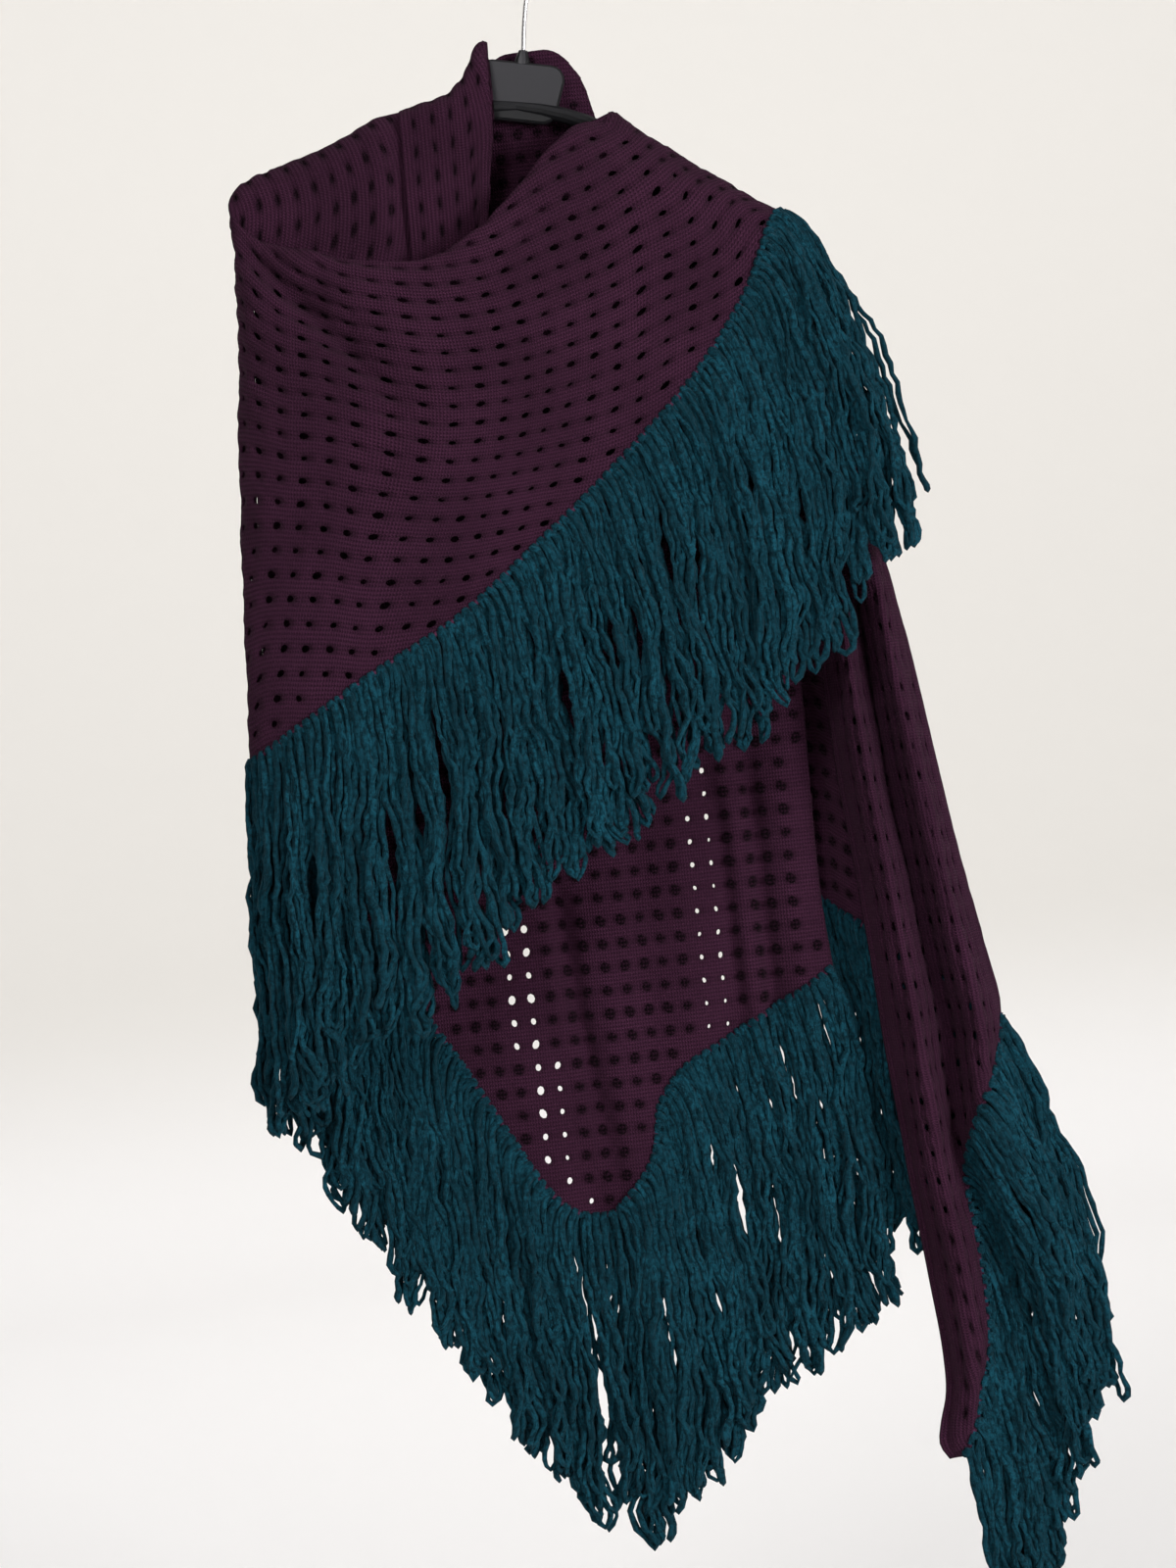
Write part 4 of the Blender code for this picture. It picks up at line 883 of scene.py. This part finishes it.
def strand_loops(hem, inner, seed, table, loops, sparse, gather, uneven, deep, spread):
    """Paths of the fringe's loops: each leaves the hem, hangs to its tip, turns and comes back up."""
    sizes = bpy.context.scene.shawl_sizes
    random = np.random.default_rng(seed)
    length = lengths_along(hem)[-1]
    tufts = max(4, round(length / (TUFT_PITCH * sparse)))
    tuft = np.repeat(np.arange(tufts), loops)
    count = len(tuft)
    share = (tuft + 0.5 + random.uniform(-0.22, 0.22, count)) / tufts
    point, ahead, out, facing = hem_line(hem, inner, share)
    clump = np.floor(tuft / CLUMP_TUFTS + random.uniform(-CLUMP_MIX, CLUMP_MIX, count))
    clump_share = np.clip((clump + 0.5) * CLUMP_TUFTS / tufts, 0, 1)
    pull = sizes.clumping * gather * random.uniform(0.45, 1.0, count)
    tip_share = share + (clump_share - share) * pull
    rows = np.array(table, float)
    tip_dx, tip_y, tip_dz, push = (np.interp(tip_share, rows[:, 0], rows[:, k]) for k in range(1, 5))
    tip_point = hem_line(hem, inner, tip_share)[0]
    level = hashed(clump, 5, seed) * 2 - 1
    drop = tip_dz * (1 - uneven * random.uniform(0, 1, count) ** 1.6) + TIP_LEVEL * level
    depth = random.uniform(-0.6, 0.6, count) + (hashed(clump, 6, seed) * 2 - 1) * 0.65
    depth *= deep
    stray = random.normal(0, spread, count)
    stray += (random.uniform(0, 1, count) < STRAY_SHARE) * random.normal(0, STRAY_REACH, count)
    tip = np.stack([tip_point[:, 0] + tip_dx + stray,
                    tip_y + depth, tip_point[:, 2] + np.maximum(drop, tip_dz - TIP_EXCESS)], axis=1)
    root = point + out * ROOT_LENGTH
    reach = tip - root
    push = push * random.uniform(0.75, 1.15, count)
    first = root + out * push[:, None] * 0.55 + facing * (depth * 0.5)[:, None]
    last = tip - reach * np.array([0.2, 0.0, 0.62])
    t = (1 - (1 - np.linspace(0, 1, sizes.strand_steps)) ** 1.3)[None, :, None]
    legs = ((1 - t)**3 * root[:, None] + 3 * (1 - t)**2 * t * first[:, None]
            + 3 * (1 - t) * t**2 * last[:, None] + t**3 * tip[:, None])
    heading = unit(np.gradient(legs, axis=1))
    aside = square_to(heading, np.broadcast_to(ahead[:, None], legs.shape), 0.05)
    front = np.cross(heading, aside)
    along = lengths_of(legs)
    grow = np.minimum(t[..., 0] * 1.6, 1.0)
    curl = 1 + 2.4 * np.clip((t[..., 0] - 0.75) / 0.25, 0, 1) ** 2 * random.uniform(0, 1, (count, 1))
    sway = wave(along, SWAY_LENGTH, random) * sizes.waviness * curl
    sway += shared_wave(clump, along, CLUMP_LENGTH, seed) * sizes.clump_sway
    sway += wave(along, CRIMP_LENGTH, random) * sizes.crimp
    nod = wave(along, NOD_LENGTH, random) * sizes.waviness * 0.8
    nod += wave(along, CRIMP_LENGTH, random) * sizes.crimp
    middle = legs + aside * (sway * grow)[..., None] + front * (nod * grow)[..., None]
    twist = random.uniform(0, math.tau, (count, 1)) + along * random.normal(0, 0.014, (count, 1))
    part = aside * np.cos(twist)[..., None] + front * np.sin(twist)[..., None]
    gap = random.uniform(*LOOP_GAP, (count, 1))
    gap = gap + TIP_GAP * random.uniform(0, 1, (count, 1)) * t[..., 0] ** 3
    turn_start = 1 - 0.012 - 0.014 * random.uniform(0, 1, (count, 1))
    close = np.sqrt(np.clip(1 - np.clip((t[..., 0] - turn_start) / (1 - turn_start), 0, 1) ** 2, 0, 1))
    side = np.sign((facing * np.array([0, -1, 0])).sum(axis=1))[:, None]
    side = facing * np.where(side == 0, 1, side)
    down = middle + part * (gap * close)[..., None]
    up = middle - part * (gap * close)[..., None]
    lead = [np.stack([point - out * back + side * way * lift for back, lift in STITCH], axis=1)
            for way in (1, -1)]
    paths = np.concatenate([lead[0], down, up[:, ::-1][:, 1:], lead[1][:, ::-1]], axis=1)
    plane = np.cross(heading, part)
    ends = np.broadcast_to(plane[:, :1], lead[0].shape)
    plane = np.concatenate([ends, plane, plane[:, ::-1][:, 1:], ends], axis=1)
    run = lengths_of(paths)
    radii = sizes.strand_width / 2 * (1 + BEAD * wave(run, BEAD_LENGTH, random))
    radii *= random.uniform(0.7, 1.15, (count, 1))
    radii[:, (0, -1)] *= 0.7
    return paths, plane, radii


def edge_cord(hem, inner):
    """Path of the corded edge along a hem, with the way that it faces and its thickness."""
    steps = max(12, round(lengths_along(hem)[-1] / CORD_STEP))
    point, _, out, facing = hem_line(hem, inner, np.linspace(0, 1, steps))
    bead = 1 + BEAD * np.cos(np.arange(steps) * math.pi)
    return point[None], facing[None], bead[None] * CORD_WIDTH / 2


# -------- shaders

class Value:
    """A socket of a shader tree with arithmetic on it."""

    def __init__(self, look, socket):
        self.look, self.socket = look, socket

    def maths(self, operation, *others):
        return self.look.node("ShaderNodeMath", {"operation": operation}, dict(enumerate((self,) + others)))

    def __add__(self, other):
        return self.maths("ADD", other)

    def __sub__(self, other):
        return self.maths("SUBTRACT", other)

    def __rsub__(self, other):
        return self.look.node("ShaderNodeMath", {"operation": "SUBTRACT"}, {0: other, 1: self})

    def __mul__(self, other):
        return self.maths("MULTIPLY", other)

    def __truediv__(self, other):
        return self.maths("DIVIDE", other)

    def __rtruediv__(self, other):
        return self.look.node("ShaderNodeMath", {"operation": "DIVIDE"}, {0: other, 1: self})

    __radd__, __rmul__ = __add__, __mul__


class Look:
    """A node tree of a material or the world, built up by small steps."""

    def __init__(self, owner):
        owner.use_nodes = True
        self.tree = owner.node_tree
        self.surface = self.tree.nodes.get("Principled BSDF")

    def node(self, kind, settings=None, sockets=None, output=0):
        made = self.tree.nodes.new(kind)
        for key, setting in (settings or {}).items():
            setattr(made, key, setting)
        for place, value in (sockets or {}).items():
            self.feed(made.inputs[place], value)
        return Value(self, made.outputs[output])

    def feed(self, socket, value):
        if isinstance(value, Value):
            self.tree.links.new(value.socket, socket)
        else:
            socket.default_value = value

    def set(self, **values):
        for name, value in values.items():
            self.feed(self.surface.inputs[name.replace("_", " ")], value)

    def mix(self, share, first, last):
        return self.node("ShaderNodeMix", {"data_type": "RGBA"}, {0: share, 6: first, 7: last}, 2)

    def noise(self, place, scale, detail=3.0, rough=0.55):
        return self.node("ShaderNodeTexNoise", {"noise_dimensions": "3D"},
                         {"Vector": place, "Scale": scale, "Detail": detail, "Roughness": rough})

    def ramp(self, value, low, high):
        return self.node("ShaderNodeMapRange", {"interpolation_type": "SMOOTHSTEP"},
                         {0: value, 1: low, 2: high, 3: 0.0, 4: 1.0})

    def bump(self, height, distance, strength=1.0, under=None):
        sockets = {"Height": height, "Distance": distance, "Strength": strength}
        if under is not None:
            sockets["Normal"] = under
        return self.node("ShaderNodeBump", None, sockets)

    def place(self):
        return self.node("ShaderNodeTexCoord", output=3)

    def layer(self, name):
        return self.node("ShaderNodeUVMap", {"uv_map": name})

    def parts(self, vector):
        split = self.tree.nodes.new("ShaderNodeSeparateXYZ")
        self.tree.links.new(vector.socket, split.inputs[0])
        return [Value(self, split.outputs[k]) for k in range(3)]


def new_look(name):
    made = bpy.data.materials.new(name)
    return made, Look(made)


def shade(colour, factor):
    return tuple(part * factor for part in colour[:3]) + (1.0,)


def knit_look():
    """Matt fine stocking stitch, a little lighter on its fuzz and uneven from dyeing, with painted shade in
    its stitches' hollows, round its eyelets and along its rows' grooves.
    """
    colours = bpy.context.scene.shawl_colours
    made, look = new_look("Aubergine knit")
    along, across, _ = look.parts(look.layer("Knit"))
    wale = across / WALE_WIDTH
    from_middle = (wale.maths("FRACT") - 0.5).maths("ABSOLUTE")
    course = (along / COURSE_HEIGHT + from_middle * 1.1) * math.tau
    stitch = course.maths("SINE") * 0.5 + (from_middle * math.tau).maths("COSINE") * -0.5
    place = look.place()
    fuzz = look.noise(place, 900.0, 4.0)
    cloudy = look.noise(place, 14.0, 4.0)
    base = look.mix(look.ramp(cloudy, 0.3, 0.7), shade(colours.cloth, 0.82), shade(colours.cloth, 1.2))
    base = look.mix(look.ramp(fuzz, 0.45, 0.8) * 0.5, base, shade(colours.cloth, 1.9))
    painted_shade_layer = look.node("ShaderNodeAttribute", {"attribute_name": "PaintedShade"}, output=2)
    # Painted shade from the layer: softer darkening on rims and grooves, near black in closed eyelets'
    # middles
    base = look.mix(look.ramp(painted_shade_layer, 0.05, 0.6) * 0.55, base, shade(colours.cloth, 0.3))
    base = look.mix(look.ramp(painted_shade_layer, 0.46, 0.6), base, shade(colours.cloth, 0.05))
    height = stitch * 0.6 + fuzz * 0.9
    # Painted shade in the hollows of the stitches
    base = look.mix(look.ramp(stitch, -0.9, 0.5), shade(colours.cloth, 0.5), base)
    look.set(Base_Color=base, Roughness=0.97, Normal=look.bump(height, 0.0013, 0.85))
    look.set(Sheen_Weight=0.06, Sheen_Roughness=0.45, Sheen_Tint=shade(colours.cloth_sheen, 1.0))
    look.set(Specular_IOR_Level=0.04)
    return made


def yarn_look():
    """Felted thick wool with painted shade in the dips of its crinkle, some strands darker than others and a
    few lighter fibres.
    """
    colours = bpy.context.scene.shawl_colours
    made, look = new_look("Petrol yarn")
    along, around, _ = look.parts(look.layer("Yarn"))
    place = look.place()
    twist = ((along / YARN_TWIST + around * 2.0) * math.tau).maths("SINE")
    fibre = look.noise(place, 900.0, 5.0, 0.65)
    crinkle = look.noise(place, 250.0, 3.0, 0.6)
    slow = look.noise(place, 30.0, 3.0)
    base = look.mix(look.ramp(slow, 0.3, 0.72), shade(colours.yarn, 0.7), shade(colours.yarn, 1.2))
    # Painted shade in the dips of the crinkle
    base = look.mix(look.ramp(crinkle, 0.36, 0.62), shade(colours.yarn, 0.3), base)
    base = look.mix(look.ramp(fibre, 0.5, 0.8) * 0.6, base, shade(colours.yarn, 2.6))
    strand = look.node("ShaderNodeTexWhiteNoise", {"noise_dimensions": "1D"}, {"W": around.maths("FLOOR")})
    base = look.mix(strand * 0.55, base, shade(colours.yarn, 0.3))
    look.set(Base_Color=base, Roughness=0.95)
    look.set(Normal=look.bump(twist * 0.15 + crinkle * 1.6 + fibre * 0.5, 0.0022, 0.85))
    look.set(Sheen_Weight=0.12, Sheen_Roughness=0.4, Sheen_Tint=shade(colours.yarn_sheen, 1.0))
    look.set(Specular_IOR_Level=0.06)
    return made


def cord_look():
    """Twisted edge in the knit's yarn, with painted shade in the twist's grooves and painted highlight on
    its ridges.
    """
    colours = bpy.context.scene.shawl_colours
    made, look = new_look("Aubergine cord")
    along, around, _ = look.parts(look.layer("Yarn"))
    twist = ((along / CORD_TWIST + around) * math.tau).maths("SINE")
    fibre = look.noise(look.place(), 900.0, 4.0)
    # Painted shade in the twist's grooves and painted highlight on its ridges
    base = look.mix(look.ramp(twist + fibre * 0.6, -0.6, 0.9), shade(colours.cloth, 0.55),
                    shade(colours.cloth, 1.7))
    stitch = (along / (TUFT_PITCH * MM) * math.tau).maths("SINE")
    base = look.mix(look.ramp(stitch, 0.25, 0.7), base, shade(colours.yarn, 0.9))
    look.set(Base_Color=base, Roughness=0.95, Normal=look.bump(twist + fibre * 0.7, 0.001, 0.8))
    look.set(Specular_IOR_Level=0.04)
    return made


def plastic_look():
    """Dull dark plastic, lighter on the plate's face."""
    colours = bpy.context.scene.shawl_colours
    made, look = new_look("Grey plastic")
    normal = look.node("ShaderNodeNewGeometry", output=1)
    facing = look.parts(normal)[1] * -1.0
    x, _, z = look.parts(look.place())
    level = ((x - PLATE_TOP[0] * MM) * math.sin(PLATE_TILT) + (z - PLATE_TOP[1] * MM) * math.cos(PLATE_TILT))
    plate = look.ramp(level, -PLATE_FACE * MM, (1 - PLATE_FACE) * MM)
    grain = look.noise(look.place(), 1500.0, 3.0)
    base = look.mix(look.ramp(facing, 0.93, 0.995) * plate, shade(colours.plastic_edge, 1.0),
                    shade(colours.plastic, 1.0))
    look.set(Base_Color=base, Roughness=0.4, Normal=look.bump(grain, 0.0001, 0.3))
    look.set(Specular_IOR_Level=0.16)
    return made


def wire_look():
    """Drawn steel wire, a little uneven in gloss."""
    colours = bpy.context.scene.shawl_colours
    made, look = new_look("Hook wire")
    drawn = look.noise(look.place(), 420.0, 3.0)
    look.set(Base_Color=shade(colours.wire, 1.0), Metallic=1.0, Roughness=drawn * 0.15 + 0.2)
    return made


# -------- pieces

def finish_piece(piece, look, node):
    piece.data.materials.clear()
    piece.data.materials.append(look)
    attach(piece, "root")
    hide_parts(node)
    return piece


def shared_look(name, make):
    return bpy.data.materials.get(name) or make()


def cloth_grids():
    """Grid and knit of each stretch of the shawl, by the name of its solid."""
    wrap, turns = front_wrap_grid()
    grids = {
        "left_shoulder": left_shoulder_grid(), "neck_fall": neck_fall_grid(),
        "front_wrap": wrap, "thrown_end": thrown_end_grid(), "right_tail": right_tail_grid(),
        "back_side": back_side_grid(), "back_panel": back_panel_grid(),
    }
    knits = {}
    for name, grid in grids.items():
        pitches, start, rows_run_down = KNIT_LAYOUT[name][:3]
        if name == "front_wrap":
            knits[name] = wrap_knit(grid, turns)
        elif name == "back_panel":
            knits[name] = level_knit(grid, pitches, start)
        else:
            knits[name] = measured_knit(grid, pitches, start, rows_run_down)
    return grids, knits


class ShawlSizes(bpy.types.PropertyGroup):
    """Sizes that shape the cloth's holes and relief and the fringe."""

    cloth_thickness: FloatProperty(name="Cloth thickness", description="Thickness of the knit",
                                   default=1.7 * MM, unit='LENGTH')
    hole_scale: FloatProperty(name="Hole size", description="Factor on the eyelets' own size", default=1.0)
    relief: FloatProperty(name="Relief", description="Factor on the height between rows of eyelets",
                          default=1.0)
    plain_border: FloatProperty(name="Plain border", description="Width without eyelets along an edge, mm",
                                default=8.0)
    strand_width: FloatProperty(name="Strand width", description="Thickness of a fringe strand, mm",
                                default=5.1)
    strand_steps: IntProperty(name="Strand steps", description="Points along one leg of a strand",
                              default=42)
    waviness: FloatProperty(name="Waviness", description="Sideways wave of the strands, mm", default=2.0)
    crimp: FloatProperty(name="Crimp", description="Short kinks of the strands, mm", default=0.95)
    clump_sway: FloatProperty(name="Clump sway", description="Wave that a clump's strands share, mm",
                              default=2.6)
    clumping: FloatProperty(name="Clumping", description="How far strands gather into clumps", default=0.92)


class ShawlColours(bpy.types.PropertyGroup):
    """Linear colours of the shawl, its hanger and the stage."""

    cloth: FloatVectorProperty(name="Cloth", description="Colour of the knit", subtype='COLOR',
                               default=(0.0290, 0.0088, 0.0208))
    cloth_sheen: FloatVectorProperty(name="Cloth fuzz", description="Colour of the knit's fuzz",
                                     subtype='COLOR', default=(0.28, 0.16, 0.22))
    yarn: FloatVectorProperty(name="Yarn", description="Colour of the fringe", subtype='COLOR',
                              default=(0.0042, 0.040, 0.060))
    yarn_sheen: FloatVectorProperty(name="Yarn fuzz", description="Colour of the fringe's fuzz",
                                    subtype='COLOR', default=(0.10, 0.26, 0.34))
    plastic: FloatVectorProperty(name="Plastic face", description="Colour of the hanger's plate",
                                 subtype='COLOR', default=(0.019, 0.0185, 0.0215))
    plastic_edge: FloatVectorProperty(name="Plastic edge", description="Colour of the hanger's sides",
                                      subtype='COLOR', default=(0.006, 0.006, 0.007))
    wire: FloatVectorProperty(name="Wire", description="Colour of the hook", subtype='COLOR',
                              default=(0.30, 0.30, 0.31))
    backdrop: FloatVectorProperty(name="Backdrop", description="Colour of the backdrop", subtype='COLOR',
                                  default=(0.765, 0.745, 0.715))
    floor: FloatVectorProperty(name="Floor", description="Colour of the floor", subtype='COLOR',
                               default=(0.945, 0.935, 0.94))


class SHAWL_OT_hanger(bpy.types.Operator):
    """Give the hanger's solids their plastic and wire"""

    bl_idname = "shawl.hanger"
    bl_label = "Finish Hanger"

    def execute(self, context):
        for node, name, make in (("hanger_body", "Grey plastic", plastic_look),
                                 ("hanger_hook", "Hook wire", wire_look)):
            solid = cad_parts[node]
            solid.data.materials.clear()
            solid.data.materials.append(shared_look(name, make))
        return {'FINISHED'}


class SHAWL_OT_cloth(bpy.types.Operator):
    """Knit each stretch of the cloth with its eyelets and relief"""

    bl_idname = "shawl.cloth"
    bl_label = "Knit Cloth"

    def execute(self, context):
        look = shared_look("Aubergine knit", knit_look)
        grids, knits = cloth_grids()
        for seed, (name, layout) in enumerate(KNIT_LAYOUT.items()):
            pitches, _, _, hole, relief, outward = layout
            piece = knit_mesh("knit_" + name, grids[name], knits[name], pitches, hole, relief, outward, seed)
            wall = piece.modifiers.new("Thickness", 'SOLIDIFY')
            wall.thickness = context.scene.shawl_sizes.cloth_thickness
            wall.offset = 0.0
            finish_piece(piece, look, name)
        return {'FINISHED'}


class SHAWL_OT_fringe(bpy.types.Operator):
    """Hang the looped strands from every hem that carries them"""

    bl_idname = "shawl.fringe"
    bl_label = "Hang Fringe"

    def execute(self, context):
        look = shared_look("Petrol yarn", yarn_look)
        grids, _ = cloth_grids()
        wrap, thrown, tail = grids["front_wrap"], grids["thrown_end"], grids["right_tail"]
        side, back = grids["back_side"], grids["back_panel"]
        apex = int(np.argmin(back[:, -1, 2]))
        start = int(np.argmin(np.abs(tail[:, -1, 2] - TAIL_HEM_START_Z)))
        stretches = {
            "fringe_front": wrap[WRAP_HEM_START:], "fringe_back_left": back[1:apex + 1],
            "fringe_back_right": back[apex:], "fringe_back_side": side.transpose(1, 0, 2),
            "fringe_tail": tail[start:], "fringe_thrown_end": thrown[len(THROWN_OVER_SHOULDER):],
        }
        for seed, (name, stretch) in enumerate(stretches.items()):
            hem, inner = stretch[:, -1], stretch[:, -2]
            paths, plane, radii = strand_loops(hem, inner, FIRST_SEED + seed, *FRINGE_LAYOUT[name])
            piece = tube_mesh("strands_" + name, paths, plane, radii, STRAND_SIDES)
            finish_piece(piece, look, name)
            cord = tube_mesh("edge_" + name, *edge_cord(hem, inner), CORD_SIDES)
            finish_piece(cord, shared_look("Aubergine cord", cord_look), name)
        for name, (width, length, area, held, rests_on, fringes) in SHEETS.items():
            bpy.data.objects["knit_" + name]
        return {'FINISHED'}


class SHAWL_OT_stage(bpy.types.Operator):
    """Set up the pale bowl of floor and backdrop, the light and the camera"""

    bl_idname = "shawl.stage"
    bl_label = "Set Stage"

    def execute(self, context):
        scene = context.scene
        made, look = new_look("Pale stage")
        height = look.parts(look.place())[2]
        pale = look.mix(look.ramp(height, *HORIZON), shade(scene.shawl_colours.floor, 1.0),
                        shade(scene.shawl_colours.backdrop, 1.0))
        look.set(Base_Color=pale, Roughness=0.9)
        profile = [(0.0, FLOOR_Z)]
        for step in range(BOWL_STEPS + 1):
            turn = math.pi / 2 * step / BOWL_STEPS
            profile.append((BOWL_RADIUS - BOWL_BEND * (1 - math.sin(turn)),
                            FLOOR_Z + BOWL_BEND * (1 - math.cos(turn))))
        profile.append((BOWL_RADIUS, BOWL_TOP))
        sides = BOWL_SIDES
        turns = [math.tau * k / sides for k in range(sides)]
        vertices = [(r * math.cos(turn), r * math.sin(turn), z) for r, z in profile[1:] for turn in turns]
        vertices.append((0.0, 0.0, FLOOR_Z))
        faces = [(len(vertices) - 1, k, (k + 1) % sides) for k in range(sides)]
        for inner in range(0, (len(profile) - 2) * sides, sides):
            for k, m in ((k, (k + 1) % sides) for k in range(sides)):
                faces.append((inner + k, inner + sides + k, inner + sides + m, inner + m))
        mesh = bpy.data.meshes.new("stage_bowl")
        mesh.from_pydata(vertices, [], faces)
        mesh.shade_smooth()
        mesh.materials.append(made)
        bowl = bpy.data.objects.new("stage_bowl", mesh)
        scene.collection.objects.link(bowl)

        scene.view_settings.view_transform = 'Standard'
        world = bpy.data.worlds.new("Soft light")
        scene.world = world
        sky = Look(world)
        for socket, value in (("Color", SKY), ("Strength", WORLD_STRENGTH)):
            sky.feed(sky.tree.nodes["Background"].inputs[socket], value)
        for name, place, aim, size, power in LIGHTS:
            lamp = bpy.data.lights.new(name, 'AREA')
            lamp.shape = 'RECTANGLE'
            lamp.size, lamp.size_y = size
            lamp.energy = power
            light = bpy.data.objects.new(name, lamp)
            light.location = place
            light.rotation_euler = (Vector(aim) - Vector(place)).to_track_quat('-Z', 'Y').to_euler()
            scene.collection.objects.link(light)

        eye = bpy.data.cameras.new("camera")
        eye.lens = CAMERA_LENS
        eye.sensor_width = SENSOR_WIDTH
        eye.clip_end = CLIP_END
        camera = bpy.data.objects.new("camera", eye)
        roll = math.radians(CAMERA_ROLL)
        right = Vector((math.cos(roll), 0.0, -math.sin(roll)))
        up = Vector((math.sin(roll), 0.0, math.cos(roll)))
        turn = Matrix((right, up, right.cross(up))).transposed()
        camera.matrix_world = Matrix.Translation(Vector(CAMERA_PLACE)) @ turn.to_4x4()
        scene.collection.objects.link(camera)
        scene.camera = camera
        return {'FINISHED'}


class SHAWL_PT_panel(bpy.types.Panel):
    bl_label = "Openwork Shawl"
    bl_idname = "SHAWL_PT_panel"
    bl_space_type = 'VIEW_3D'
    bl_region_type = 'UI'
    bl_category = "Shawl"

    def draw(self, context):
        layout = self.layout
        for group in (context.scene.shawl_sizes, context.scene.shawl_colours):
            box = layout.box()
            for name in group.__annotations__:
                box.prop(group, name)
        for operator in OPERATORS:
            layout.operator(operator.bl_idname)


OPERATORS = (SHAWL_OT_hanger, SHAWL_OT_cloth, SHAWL_OT_fringe, SHAWL_OT_stage)
CLASSES = (ShawlSizes, ShawlColours) + OPERATORS + (SHAWL_PT_panel,)


def register():
    for each in CLASSES:
        bpy.utils.register_class(each)
    bpy.types.Scene.shawl_sizes = PointerProperty(type=ShawlSizes)
    bpy.types.Scene.shawl_colours = PointerProperty(type=ShawlColours)


def unregister():
    del bpy.types.Scene.shawl_colours
    del bpy.types.Scene.shawl_sizes
    for each in reversed(CLASSES):
        bpy.utils.unregister_class(each)


def main():
    register()
    bpy.ops.shawl.hanger()
    bpy.ops.shawl.cloth()
    bpy.ops.shawl.fringe()
    bpy.ops.shawl.stage()


if __name__ == "__main__":
    main()
